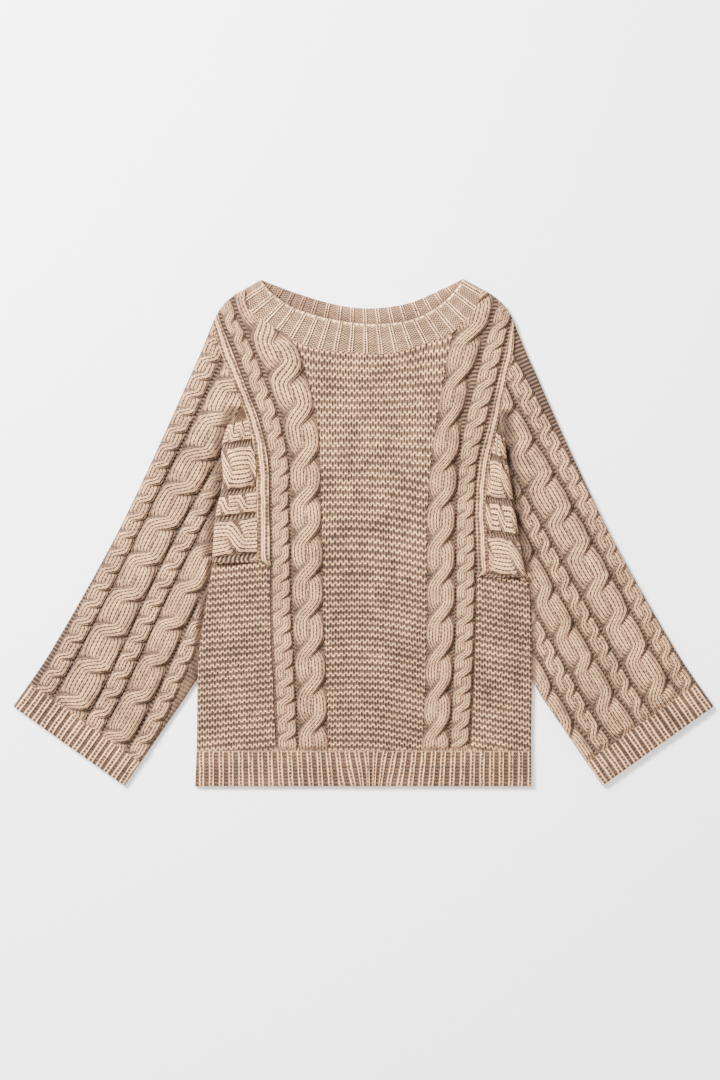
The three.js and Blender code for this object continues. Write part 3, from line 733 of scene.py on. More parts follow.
class SleeveEdge:
    """A sleeve's own frame: along its upper edge from the shoulder, and in from that edge."""

    def __init__(self, sign):
        self.sign = sign
        self.line = smooth(points_of(SLEEVE_EDGE) * (sign, 1), 400)
        steps = np.linalg.norm(np.diff(self.line, axis=0), axis=1)
        self.length = np.concatenate([[0], np.cumsum(steps)])
        tangent = np.gradient(self.line, self.length, axis=0)
        self.tangent = tangent / np.linalg.norm(tangent, axis=1)[:, None]

    def place(self, along, offset):
        inside = np.clip(along, 0, self.length[-1])
        x, y = (np.interp(inside, self.length, column) for column in self.line.T)
        tx, ty = (np.interp(inside, self.length, column) for column in self.tangent.T)
        past = along - inside
        return x + tx * past + self.sign * ty * offset, y + ty * past - self.sign * tx * offset


def cuff_seam():
    """Where the sleeve's two edges meet the cuff's seam, outer and inner."""
    edge = points_of(SLEEVE_EDGE)
    ends = ((edge[-1], edge[-2]), (np.array(CUFF_INNER), np.array(SLEEVE_INNER)))
    return [mix(tip, back, CUFF_DEPTH / np.linalg.norm(back - tip)) for tip, back in ends]


def sleeve_runs(half):
    """The sleeve for +X, from the cuff's seam up to the shoulder and back down beside the body."""
    outer, inner = cuff_seam()
    edge = smooth(points_of(SLEEVE_EDGE), 90)
    edge = edge[edge[:, 1] > outer[1] + 2][::-1]
    hole = armhole_line(half)[::-1]
    beside = side_line(half, SIDE_LEAVES_Y, half["side"]["y"][0])[::-1]
    return [
        run([inner, outer], opened=True),
        run([outer, *edge], free=True),
        run(hole, opened=True),
        run([hole[-1], beside[0]]),
        run(beside),
        run([beside[-1], SLEEVE_INNER, inner], free=True),
    ]


def cuff_runs():
    outer, inner = cuff_seam()
    tip = points_of(SLEEVE_EDGE)[-1]
    return [
        run([CUFF_INNER, tip], opened=True),
        run([tip, outer], free=True),
        run([outer, inner], opened=True),
        run([inner, CUFF_INNER], free=True),
    ]


# Meshes

def select_only(piece):
    bpy.ops.object.select_all(action="DESELECT")
    piece.select_set(True)
    bpy.context.view_layer.objects.active = piece


def object_of(name, points, faces):
    mesh = bpy.data.meshes.new(name)
    mesh.from_pydata((np.asarray(points) * MM).tolist(), [], faces)
    piece = bpy.data.objects.new(name, mesh)
    bpy.context.scene.collection.objects.link(piece)
    return piece


def mark(piece, column_row, painted_shading, knitted):
    """Writes the stitch columns and rows as one UV map, and the painted shading and the knit mask as
    another.
    """
    mesh = piece.data
    corners = np.empty(len(mesh.loops), np.int32)
    mesh.loops.foreach_get("vertex_index", corners)
    for name, values in (("stitches", column_row), ("painted_shading", np.stack([painted_shading, knitted], 1))):
        layer = mesh.uv_layers.new(name=name)
        layer.data.foreach_set("uv", values[corners].astype(np.float32).ravel())


def rim_of(rows, columns):
    """The border of a grid of points, once round."""
    index = np.arange(rows * columns).reshape(rows, columns)
    return np.concatenate([index[0], index[1:, -1], index[-1, -2::-1], index[-2:0:-1, 0]])


def slab(name, sheet, under, underside=None):
    """A closed piece between a sheet and a flat or a knitted underside."""
    x, y, z, column, row, painted_shading, knitted = sheet.fields
    rows, columns = z.shape
    index = np.arange(rows * columns).reshape(rows, columns)
    a, b = index[:-1, :-1].ravel(), index[:-1, 1:].ravel()
    c, d = index[1:, 1:].ravel(), index[1:, :-1].ravel()
    quads = np.stack([a, b, c, d], 1)
    turned = (x[0, -1] - x[0, 0]) * (y[-1, 0] - y[0, 0]) - (y[0, -1] - y[0, 0]) * (x[-1, 0] - x[0, 0]) < 0
    rim = rim_of(rows, columns)
    top = np.stack([x, y, z], -1).reshape(-1, 3)
    fields = [field.ravel() for field in (column, row, painted_shading, knitted)]
    count = rows * columns
    if underside is None:
        low = top[rim]
        low[:, 2] = under
        lower = count + np.arange(len(rim))
        floor = [lower[::-1].tolist()]
        fields = [np.concatenate([field, field[rim]]) for field in fields]
    else:
        low = np.stack([x, y, underside], -1).reshape(-1, 3)
        lower = count + rim
        floor = (quads[:, ::-1] + count).tolist()
        fields = [np.concatenate([field, field]) for field in fields]
    walls = np.stack([rim, lower, np.roll(lower, -1), np.roll(rim, -1)], 1)
    faces = quads.tolist() + walls.tolist() + floor
    if turned:
        faces = [face[::-1] for face in faces]
    piece = object_of(name, np.concatenate([top, low]), faces)
    mark(piece, np.stack(fields[:2], 1), *fields[2:])
    return piece


def inset(outline, distances):
    """Moves each edge of an outline in by its own distance."""
    along = np.roll(outline, -1, axis=0) - outline
    along /= np.linalg.norm(along, axis=1)[:, None]
    after = np.stack([-along[:, 1], along[:, 0]], 1)
    before = np.roll(after, 1, axis=0)
    far, near = distances, np.roll(distances, 1)
    cross = before[:, 0] * after[:, 1] - before[:, 1] * after[:, 0]
    both = before + after
    straight = both * ((near + far) / (both**2).sum(1))[:, None]
    sharp = np.abs(cross) > 0.25
    safe = np.where(sharp, cross, 1)
    mitre = np.stack([near * after[:, 1] - far * before[:, 1], far * before[:, 0] - near * after[:, 0]], 1)
    return outline + np.where(sharp[:, None], mitre / safe[:, None], straight)


def block(name, outline, rings):
    """A block over an outline: rings of height and inset for its free edges, upright at seams."""
    corners, free = corners_of(outline), marks_of(outline, "free")
    count = len(corners)
    levels = []
    for height, distance in rings:
        ring = inset(corners, np.where(free, distance, SEAM_GAP / 2))
        levels.append(np.column_stack([ring, np.full(count, height)]))
    index = np.arange(count)
    after = np.roll(index, -1)
    faces = [index[::-1].tolist()]
    for level in range(len(rings) - 1):
        low = level * count
        faces += np.stack([index + low, after + low, after + low + count, index + low + count], 1).tolist()
    faces.append((index + (len(rings) - 1) * count).tolist())
    piece = object_of(name, np.concatenate(levels), faces)
    total = count * len(rings)
    mark(piece, np.zeros((total, 2)), np.full(total, 0.85), np.zeros(total))
    return piece


def slit_block(name, outline):
    """The hollow between a flat tube's two walls, which is open at the tube's ends."""
    distances = np.where(marks_of(outline, "open"), -TUBE_PAST, TUBE_RIM)
    hollow = inset(corners_of(outline), distances)
    closed = np.concatenate([hollow, hollow[:1]])
    middle = CLOTH + LAYER_GAP
    return block(name, [run(closed, free=True)], ((middle - SLIT / 2, 0), (middle + SLIT / 2, 0)))


def combine(piece, other, operation):
    """Trims, hollows or joins a piece with another, which is used up."""
    modifier = piece.modifiers.new("combine", "BOOLEAN")
    modifier.operation = operation
    modifier.solver = "MANIFOLD"
    modifier.object = other
    select_only(piece)
    bpy.ops.object.modifier_apply(modifier=modifier.name)
    bpy.data.objects.remove(other)
    if len(piece.data.polygons) < 20:
        raise RuntimeError(f"{piece.name} was lost when it was combined")
    return piece


def trimmed(name, sheet, outline, rings):
    """A sheet's closed piece, cut to an outline."""
    piece = slab(name, sheet, rings[0][0] - FLOOR_DROP)
    return combine(piece, block(f"{name}.outline", outline, rings), "INTERSECT")


def read(faces, name, width):
    """A row of values for each face."""
    values = np.empty(len(faces) * width, np.float32)
    faces.foreach_get(name, values)
    return values.reshape(-1, width)


def finish_piece(piece, finish, nodes, flat):
    """Shades a piece, gives it its finishes, hangs it under the root and hides the parts that it replaces.
    Its flat size is worked out but not used.
    """
    select_only(piece)
    bpy.ops.object.shade_smooth_by_angle(angle=SMOOTH_ANGLE)
    mesh = piece.data
    mesh.materials.clear()
    for name in (finish, "plain_knit_underside"):
        mesh.materials.append(bpy.data.materials[name])
    upright = read(mesh.polygons, "normal", 3)[:, 2]
    areas = read(mesh.polygons, "area", 1)[:, 0]
    low = (upright < FACING_DOWN) & (read(mesh.polygons, "center", 3)[:, 2] < RESTING * MM)
    mesh.polygons.foreach_set("material_index", low.astype(np.int32))
    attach(piece, "root")
    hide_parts(*nodes)
    width, length = (size * MM for size in flat)
    return piece


# Finishes

def feed(tree, socket, value):
    """Links a socket to another one, or sets its value."""
    if isinstance(value, bpy.types.NodeSocket):
        tree.links.new(value, socket)
    else:
        socket.default_value = value


def node(tree, kind, **inputs):
    """A new node. Its inputs go by their labels, or by i and their number."""
    made = tree.nodes.new(kind)
    for name, value in inputs.items():
        numbered = name[0] == "i" and name[1:].isdigit()
        feed(tree, made.inputs[int(name[1:]) if numbered else name], value)
    return made


def calculate(tree, operation, *values):
    made = tree.nodes.new("ShaderNodeMath")
    made.operation = operation
    for socket, value in zip(made.inputs, values):
        feed(tree, socket, value)
    return made.outputs[0]


def place_group(tree, name, **inputs):
    """Places a shader group, and gives its outputs."""
    made = tree.nodes.new("ShaderNodeGroup")
    made.node_tree = bpy.data.node_groups[name]
    for label, value in inputs.items():
        feed(tree, made.inputs[label], value)
    return made.outputs


def new_group(name, inputs, outputs):
    """An empty shader group: its inputs are names, kinds and defaults, its outputs names and kinds."""
    tree = bpy.data.node_groups.new(name, "ShaderNodeTree")
    for label, kind, default in inputs:
        socket = tree.interface.new_socket(label, in_out="INPUT", socket_type=kind)
        if default is not None:
            socket.default_value = default
    for label, kind in outputs:
        tree.interface.new_socket(label, in_out="OUTPUT", socket_type=kind)
    return tree, tree.nodes.new("NodeGroupInput").outputs, tree.nodes.new("NodeGroupOutput").inputs


def hollow_between(tree, distances, reaches):
    """A round hollow: 1 where both distances are 0 and 0 from their reaches on."""
    hollow = 1.0
    for distance, reach in zip(distances, reaches):
        share = calculate(tree, "DIVIDE", distance, reach)
        depth = calculate(tree, "SUBTRACT", 1.0, calculate(tree, "MULTIPLY", share, share))
        hollow = calculate(tree, "MULTIPLY", hollow, calculate(tree, "MAXIMUM", depth, 0.0))
    return hollow


def stocking_group():
    """The height of knit stitches, from their columns and rows."""
    tree, given, made = new_group(
        "stocking_stitch", [("Stitches", "NodeSocketVector", None)], [("Height", "NodeSocketFloat")])
    split = node(tree, "ShaderNodeSeparateXYZ", Vector=given["Stitches"])
    index = calculate(tree, "FLOOR", split.outputs["X"])
    row = calculate(tree, "MULTIPLY_ADD", index, 0.5, split.outputs["Y"])
    places = []
    for value in (split.outputs["X"], row):
        share = calculate(tree, "FRACT", value)
        places.append(calculate(tree, "ABSOLUTE", calculate(tree, "SUBTRACT", share, 0.5)))
    squared = calculate(tree, "MULTIPLY", places[1], places[1])
    hole = hollow_between(tree, (places[0], squared), (LEG_HOLE, 0.5**2))
    legs = calculate(tree, "SUBTRACT", 1.0, calculate(tree, "POWER", hole, HOLE_POWER))
    border = calculate(tree, "SUBTRACT", 0.5, places[0])
    slope = calculate(tree, "MULTIPLY_ADD", border, -1 / GROOVE_WIDTH, 1.0)
    groove = calculate(tree, "MAXIMUM", slope, 0.0)
    joined = calculate(tree, "MULTIPLY_ADD", groove, -GROOVE_DEPTH, 1.0)
    tree.links.new(calculate(tree, "MULTIPLY", legs, joined), made["Height"])
    return tree


def garter_group():
    """The height of garter stitch, from its columns and rows."""
    tree, given, made = new_group(
        "garter_stitch", [("Stitches", "NodeSocketVector", None)], [("Height", "NodeSocketFloat")])
    split = node(tree, "ShaderNodeSeparateXYZ", Vector=given["Stitches"])
    angle = calculate(tree, "MULTIPLY", split.outputs["X"], 2 * np.pi)
    sway = calculate(tree, "MULTIPLY", calculate(tree, "SINE", angle), 2.0)
    sway = calculate(tree, "MAXIMUM", calculate(tree, "MINIMUM", sway, 1.0), -1.0)
    level = calculate(tree, "MULTIPLY_ADD", sway, LOOP_SWAY, split.outputs["Y"])
    apart = calculate(tree, "ABSOLUTE", calculate(tree, "SUBTRACT", calculate(tree, "FRACT", level), 0.5))
    half = calculate(tree, "FRACT", calculate(tree, "MULTIPLY", split.outputs["X"], 2.0))
    aside = calculate(tree, "ABSOLUTE", calculate(tree, "SUBTRACT", half, 0.5))
    gap = hollow_between(tree, (aside, apart), (LOOP_GAP, LOOP_GAP))
    solid = calculate(tree, "SUBTRACT", 1.0, calculate(tree, "POWER", gap, GAP_POWER))
    crest = calculate(tree, "MULTIPLY_ADD", apart, LOOP_SWELL, LOOP_LOW)
    tree.links.new(calculate(tree, "MULTIPLY", solid, crest), made["Height"])
    return tree


def uneven_group():
    """Moves stitch places a little, so that no two stitches are quite alike."""
    tree, given, made = new_group(
        "uneven_stitches", [("Stitches", "NodeSocketVector", None), ("Place", "NodeSocketVector", None)],
        [("Stitches", "NodeSocketVector")])
    moved = given["Stitches"]
    for scale, amount in ((45.0, 0.4), (260.0, 0.22)):
        noise = node(tree, "ShaderNodeTexNoise", Vector=given["Place"], Scale=scale, Detail=1.0)
        centred = node(tree, "ShaderNodeVectorMath", i0=noise.outputs["Color"], i1=(0.5, 0.5, 0.5))
        centred.operation = "SUBTRACT"
        step = node(tree, "ShaderNodeVectorMath", i0=centred.outputs[0], i1=(amount, amount, 0), i2=moved)
        step.operation = "MULTIPLY_ADD"
        moved = step.outputs[0]
    tree.links.new(moved, made["Stitches"])
    return tree


def yarn_group():
    """The yarn's colour and fuzz, from how high a place is in its stitch and from its painted shading:
    painted shade towards the stitches' gaps, painted light towards their crests.
    """
    tree, given, made = new_group(
        "wool_yarn",
        [
            ("Stitch", "NodeSocketFloat", 1.0), ("Relief", "NodeSocketFloat", 1.0),
            ("Place", "NodeSocketVector", None), ("Stitches", "NodeSocketVector", None),
            ("Gap", "NodeSocketColor", (0.1, 0.1, 0.1, 1)), ("Yarn", "NodeSocketColor", (0.5, 0.5, 0.5, 1)),
            ("Crest", "NodeSocketColor", (0.8, 0.8, 0.8, 1)),
        ],
        [("Color", "NodeSocketColor"), ("Height", "NodeSocketFloat")])
    # Painted shade: darker where the stitch falls into its gaps and where the painted shading is low
    tone = calculate(tree, "MULTIPLY", given["Relief"], given["Stitch"])
    patches = node(tree, "ShaderNodeTexNoise", Vector=given["Place"], Scale=22.0, Detail=4.0)
    fuzz = node(tree, "ShaderNodeTexNoise", Vector=given["Place"], Scale=900.0, Detail=3.0)
    cells = node(tree, "ShaderNodeVectorMath", i0=given["Stitches"])
    cells.operation = "FLOOR"
    loops = node(tree, "ShaderNodeTexWhiteNoise", Vector=cells.outputs[0])
    for noise, depth in (
        (patches.outputs[0], PATCH_DEPTH),
        (fuzz.outputs[0], FUZZ_DEPTH),
        (loops.outputs["Value"], LOOP_DEPTH),
    ):
        centred = calculate(tree, "SUBTRACT", noise, 0.5)
        tone = calculate(tree, "MULTIPLY_ADD", centred, depth, tone)
    # From painted gap shade through the yarn's colour to painted crest light
    colour = given["Gap"]
    for start, end, target in ((0.0, YARN_TONE, given["Yarn"]), (YARN_TONE, CREST_TONE, given["Crest"])):
        step = node(tree, "ShaderNodeMapRange", Value=tone)
        step.inputs["From Min"].default_value = start
        step.inputs["From Max"].default_value = end
        blend = tree.nodes.new("ShaderNodeMix")
        blend.data_type = "RGBA"
        tree.links.new(step.outputs[0], blend.inputs["Factor"])
        tree.links.new(colour, blend.inputs[6])
        tree.links.new(target, blend.inputs[7])
        colour = blend.outputs[2]
    tree.links.new(colour, made["Color"])
    height = calculate(tree, "MULTIPLY_ADD", fuzz.outputs[0], 0.35, given["Stitch"])
    tree.links.new(height, made["Height"])
    return tree


def yarn_material(name, stitch, depth, colours, underside=False):
    """A yarn finish: its stitch group, how deep the painted shade in its gaps is, and its colours."""
    material = bpy.data.materials.new(name)
    material.use_nodes = True
    tree = material.node_tree
    tree.nodes.clear()
    place = tree.nodes.new("ShaderNodeTexCoord").outputs["Object"]
    if underside:
        scale = (1 / MM / GARTER_WIDTH, 1 / MM / RIDGE_HIGH, 0)
        stitches = node(tree, "ShaderNodeMapping", Vector=place, Scale=scale).outputs[0]
        painted_shading, knitted = 1.0, 0.0
    else:
        uv = tree.nodes.new("ShaderNodeUVMap")
        uv.uv_map = "stitches"
        stitches = uv.outputs[0]
        marks = tree.nodes.new("ShaderNodeUVMap")
        marks.uv_map = "painted_shading"
        painted_shading, knitted = node(tree, "ShaderNodeSeparateXYZ", Vector=marks.outputs[0]).outputs[:2]
    stitches = place_group(tree, "uneven_stitches", Stitches=stitches, Place=place)["Stitches"]
    height = place_group(tree, stitch, Stitches=stitches)["Height"]
    # Painted shade in the stitches' gaps, as deep as the finish's depth
    lowered = calculate(tree, "SUBTRACT", 1.0, height)
    if stitch == "stocking_stitch":
        lowered = calculate(tree, "MULTIPLY", lowered, knitted)
    lowered = calculate(tree, "MULTIPLY", lowered, depth)
    seen = calculate(tree, "SUBTRACT", 1.0, lowered)
    gap, yarn, crest = ((*colour, 1) for colour in colours)
    wool = place_group(
        tree, "wool_yarn", Stitch=seen, Relief=painted_shading, Place=place, Stitches=stitches, Gap=gap, Yarn=yarn,
        Crest=crest)
    raised = node(tree, "ShaderNodeBump", Height=wool["Height"], Strength=1.0, Distance=0.0008)
    shader = tree.nodes.new("ShaderNodeBsdfPrincipled")
    shader.inputs["Roughness"].default_value = 0.9
    shader.inputs["Specular IOR Level"].default_value = 0.25
    shader.inputs["Sheen Weight"].default_value = 0.05
    shader.inputs["Sheen Roughness"].default_value = 0.5
    tree.links.new(wool["Color"], shader.inputs["Base Color"])
    tree.links.new(raised.outputs[0], shader.inputs["Normal"])
    output = tree.nodes.new("ShaderNodeOutputMaterial")
    tree.links.new(shader.outputs[0], output.inputs["Surface"])
    return material


class SweaterColours(bpy.types.PropertyGroup):
    """Colours of the yarn in each part of the sweater, the painted shade of its gaps and the painted light
    of its crests, and of the floor.
    """

    # Painted shade: the near-black that the yarn takes deep between the stitches
    gap: FloatVectorProperty(
        name="Gaps", description="Yarn deep between the stitches", subtype="COLOR",
        default=(0.022, 0.0125, 0.0085), min=0, max=1)
    body: FloatVectorProperty(
        name="Body yarn", description="Yarn of the front and the back", subtype="COLOR",
        default=(0.23, 0.126, 0.07), min=0, max=1)
    sleeve: FloatVectorProperty(
        name="Sleeve yarn", description="Yarn of the sleeves and cuffs", subtype="COLOR",
        default=(0.205, 0.115, 0.064), min=0, max=1)
    neck: FloatVectorProperty(
        name="Neckband yarn", description="Yarn of the neckband", subtype="COLOR",
        default=(0.34, 0.197, 0.108), min=0, max=1)
    # Painted light: both crest colours are the lighter, lit yarn on the tops of the stitches
    crest: FloatVectorProperty(
        name="Crests", description="Yarn on top of the stitches", subtype="COLOR",
        default=(0.83, 0.46, 0.23), min=0, max=1)
    neck_lit_crest: FloatVectorProperty(
        name="Neckband lit crests", description="Yarn on top of the neckband's stitches", subtype="COLOR",
        default=(1.0, 0.62, 0.35), min=0, max=1)
    floor: FloatVectorProperty(
        name="Floor", description="Plain floor under the sweater", subtype="COLOR",
        default=(0.93, 0.93, 0.93), min=0, max=1)


class SweaterSizes(bpy.types.PropertyGroup):
    """Sizes that a user would change."""

    camera_height: FloatProperty(
        name="Camera height", description="Height of the camera above the floor",
        default=3.24, min=1, unit="LENGTH")
    lens: FloatProperty(
        name="Lens", description="Focal length of the camera in millimetres", default=80, min=20)
    edge_radius: FloatProperty(
        name="Edge radius", description="How far in from a free edge the cloth starts to roll down",
        default=0.006, min=0.001, unit="LENGTH")


def radius():
    return bpy.context.scene.sweater_sizes.edge_radius / MM


def front_piece(name, sheet, outline, reach, finish, node_name, flat):
    """Makes a piece of the front from its sheet, level at the hem's seam."""
    settle(sheet, reach)
    round_off(sheet, outline, FRONT_EDGE, radius())
    piece = trimmed(name, sheet, outline, FRONT_RIM)
    finish_piece(piece, finish, [node_name], flat)


def tube_piece(name, sheet, outline, flat):
    """Makes a flat tube, open at its ends, from its sheet."""
    round_off(sheet, outline, TUBE_EDGE_HEIGHT, radius())
    piece = trimmed(f"{name}_knit", sheet, outline, TUBE_RIM_RINGS)
    combine(piece, slit_block(f"{name}.slit", outline), "DIFFERENCE")
    finish_piece(piece, "sleeve_cable", [name], flat)


class SWEATER_OT_yarns(bpy.types.Operator):
    """Mixes the yarn finishes that the knitted pieces use"""

    bl_idname = "sweater.yarns"
    bl_label = "Yarns"

    def execute(self, context):
        colours = context.scene.sweater_colours
        stocking_group()
        garter_group()
        uneven_group()
        yarn_group()
        for name, stitch, depth, yarn in (
            ("body_garter", "garter_stitch", 1.03, colours.body),
            ("body_cable", "stocking_stitch", 0.94, colours.body),
            ("sleeve_cable", "stocking_stitch", 0.94, colours.sleeve),
            ("neck_rib", "stocking_stitch", 1.04, colours.neck),
        ):
            crest = colours.neck_lit_crest if name == "neck_rib" else colours.crest
            yarn_material(name, stitch, depth, (colours.gap, yarn, crest))
        yarn_material(
            "plain_knit_underside", "garter_stitch", 0.6, (colours.gap, colours.body, colours.crest), True)
        return {"FINISHED"}


class SWEATER_OT_front(bpy.types.Operator):
    """Knits the front: garter centre, cables and bands, and the garter blocks under the arms"""

    bl_idname = "sweater.front"
    bl_label = "Front"

    def centre(self, outline):
        ys = evenly(HEM_SEAM_Y - OVERLAP, SHOULDER_Y, CENTRE_STEP[1])[:, None]
        left, right = -guide(RIGHT, "big_in", ys), guide(LEFT, "big_in", ys)
        x = mix(left, right, shares_of(right - left, CENTRE_STEP[0]))
        drop = ROWS_DROP * (x - ROWS_TOP_X) ** 2 * ease((ROWS_LEVEL_Y - ys) / ROWS_RUN)
        knit = garter_ground(x, ys, drop)
        sheet = Sheet(x, ys, FRONT_TOP + knit.rise, knit)
        front_piece("front_centre", sheet, outline, SEAM_REACH, "body_garter", "front_panel", (210, 560))

    def cables(self, half, outline):
        ys = evenly(HEM_SEAM_Y - OVERLAP, BODY_TOP, CABLE_STEP[1])[:, None]
        sheets = []
        for kind, outer, inner in FRONT_ZONES[:: -half["sign"]]:
            sides = sorted((half["sign"] * guide(half, name, ys) for name in (outer, inner)), key=np.mean)
            if kind == "band":
                edge = 0 if half["sign"] < 0 else 1
                sides[edge] = sides[edge] + half["sign"] * BAND_LAP
            width = sides[1] - sides[0]
            shares = shares_of(width, CABLE_STEP[0])
            if kind in CABLES:
                drawn = ys - CABLE_STRETCH * np.maximum(0, ys - CABLE_STRETCH_Y)
                knit = cable(shares, drawn - half["crossings"][kind], width, CABLES[kind])
            else:
                knit = {"band": band, "gutter": gutter}[kind](shares, ys, width)
            sheets.append(Sheet(mix(*sides, shares), ys, FRONT_TOP + knit.rise, knit))
        front_piece(
            f"front_{half['name']}_cables", side_by_side(sheets), outline, CABLE_SEAM_REACH, "body_cable",
            "front_panel", (115, 640))

    def block(self, half, outline):
        top = max(half["corner"][1], half["side"]["y"][0])
        ys = evenly(HEM_SEAM_Y - OVERLAP, top + OVERLAP, BLOCK_STEP[1])[:, None]
        seam = half["sign"] * (guide(half, "armhole", ys) + BAND_LAP)
        side = half["sign"] * (follow(half["side"]["y"], half["side"]["x"], ys) + OVERLAP)
        low, high = sorted((seam, side), key=np.mean)
        x = mix(low, high, shares_of(high - low, BLOCK_STEP[0]))
        knit = garter_ground(x, ys, half["rows_drop"] * (np.abs(x) - half["side"]["x"][0]))
        sheet = Sheet(x, ys, FRONT_TOP + knit.rise, knit)
        front_piece(
            f"front_{half['name']}_block", sheet, outline, SEAM_REACH, "body_garter", "front_panel",
            half["block"])

    def execute(self, context):
        outline = body_outline(smooth(points_of(NECK_FRONT_LOWER), NECK_STEPS))
        self.centre(outline)
        for half in HALVES:
            self.cables(half, outline)
            self.block(half, outline)
        return {"FINISHED"}


class SWEATER_OT_back(bpy.types.Operator):
    """Knits the back panel and its hem, with their ridges on the underside"""

    bl_idname = "sweater.back"
    bl_label = "Back"

    def panel(self, name, outline, ys, xs, ridges, node_name, flat):
        x, y = np.meshgrid(xs, ys)
        knit = Knit(0, x / GARTER_WIDTH, y / RIDGE_HIGH, 0.8, 0)
        sheet = Sheet(x, y, CLOTH + FLOOR_DROP, knit)
        piece = slab(name, sheet, 0, 0.9 * (1 - ridges(x, y)))
        combine(piece, block(f"{name}.outline", outline, BACK_RIM), "INTERSECT")
        finish_piece(piece, "body_garter", [node_name], flat)

    def execute(self, context):
        reach = LEFT_SIDE["x"].max() + OVERLAP
        outline = body_outline(smooth(points_of(NECK_BACK_LOWER), NECK_STEPS))
        self.panel(
            "back_knit", outline, evenly(HEM_SEAM_Y - OVERLAP, BODY_TOP, BACK_STEP[1]),
            evenly(-reach, reach, BACK_STEP[0]),
            lambda x, y: (0.5 + 0.5 * np.cos(2 * np.pi * y / RIDGE_HIGH)) ** 0.7, "back_panel", (454, 622))
        self.panel(
            "back_hem_knit", hem_outline(), evenly(HEM_Y - OVERLAP, HEM_SEAM_Y + OVERLAP, BACK_STEP[0]),
            evenly(-reach, reach, BACK_STEP[1]),
            lambda x, y: crown(2 * part_of(x / HEM_RIB["pitch"]) - 1, 4), "back_hem_rib", (454, 48))
        return {"FINISHED"}


class SWEATER_OT_hem(bpy.types.Operator):
    """Knits the front's hem rib, whose ribs lean together below the middle"""

    bl_idname = "sweater.hem"
    bl_label = "Hem"

    def execute(self, context):
        reach = LEFT_SIDE["x"].max() + OVERLAP
        ys = evenly(HEM_Y - 2, HEM_SEAM_Y + 2, HEM_STEP[1])[:, None]
        xs = evenly(-reach, reach, HEM_STEP[0])[None, :]
        below = HEM_SEAM_Y - ys
        lean = follow(HEM_LEAN["x"], HEM_LEAN["lean"], xs)
        count = (xs + lean * below + 0.6 * drift(xs, ys, 40, 4)) / HEM_RIB["pitch"]
        knit = rib(count, ys, HEM_RIB)
        sheet = Sheet(xs, ys, FRONT_TOP + knit.rise, knit)
        front_piece(
            "front_hem_knit", sheet, hem_outline(), SEAM_REACH, "body_cable", "front_hem_rib", (454, 48))
        return {"FINISHED"}


class SWEATER_OT_neckband(bpy.types.Operator):
    """Knits the neckband, one ring that is folded flat at the shoulders"""

    bl_idname = "sweater.neckband"
    bl_label = "Neckband"

    def part(self, name, lower, upper, ribs, top, edge, rings):
        low, high = (smooth(points_of(line), NECK_STEPS) for line in (lower, upper))
        length = np.linalg.norm(np.diff(low, axis=0), axis=1).sum()
        shares = np.linspace(0, 1, int(length / NECK_STEP[0]))
        ends = [evened(line, len(shares)) for line in (low, high)]
        depth = np.linalg.norm(ends[1] - ends[0], axis=1).max()
        span = NECK_SPAN[1] - NECK_SPAN[0]
        along = np.linspace(*NECK_SPAN, int(span * depth / NECK_STEP[1]))[:, None]
        x, y = (mix(ends[0][None, :, axis], ends[1][None, :, axis], along) for axis in (0, 1))
        knit = rib((shares[None, :] - 0.5) * ribs, along * depth, NECK_RIB)
        sheet = Sheet(x, y, top + knit.rise, knit)
        if rings is NECK_FRONT_RIM:
            # Beads along the front's upper edge: raised, with painted highlight on them
            border = np.exp(-(((1 - along) * depth - BEAD_PLACE) / BEAD_WIDTH) ** 2)
            beads = 0.5 + 0.5 * np.cos(2 * np.pi * shares[None, :] * length / NECK_BEAD)
            sheet.z = sheet.z + border * beads
            sheet.painted_shading = mix(sheet.painted_shading, 0.6 + 0.4 * beads, border)
        else:
            # Painted shadow on the back below the front's upper edge, and painted shade towards the
            # wearer's right
            front = [smooth(points_of(NECK_FRONT_UPPER), NECK_STEPS)]
            sheet.paint_shading(0.55 * np.exp(-distance_to(x, y, front) / 4))
            sheet.paint_shading(0.38 * (1 - ease((x + 125) / 140)))
        outline = [
            run(low),
            run([low[-1], high[-1]], free=True),
            run(high[::-1], free=True),
            run([high[0], low[0]], free=True),
        ]
        round_off(sheet, outline, edge, NECK_RADIUS)
        return trimmed(name, sheet, outline, rings)

    def execute(self, context):
        piece = self.part(
            "neckband_knit", NECK_FRONT_LOWER, NECK_FRONT_UPPER, NECK_RIBS, NECK_FRONT_TOP + 1, NECK_EDGE,
            NECK_FRONT_RIM)
        back = self.part(
            "neckband.back", NECK_BACK_LOWER, NECK_BACK_UPPER, BACK_NECK_RIBS, NECK_BACK_TOP - 1,
            NECK_BACK_EDGE, NECK_BACK_RIM)
        combine(piece, back, "UNION")
        fold = points_of(NECK_FOLD)
        for number, ring in enumerate((fold, fold[::-1] * (-1, 1))):
            closed = [run([*ring, ring[0]], free=True)]
            combine(piece, block(f"fold.{number}", closed, ((0.2, 0), (NECK_EDGE, 0))), "UNION")
        finish_piece(piece, "neck_rib", ["neckband"], (680, 42))
        return {"FINISHED"}


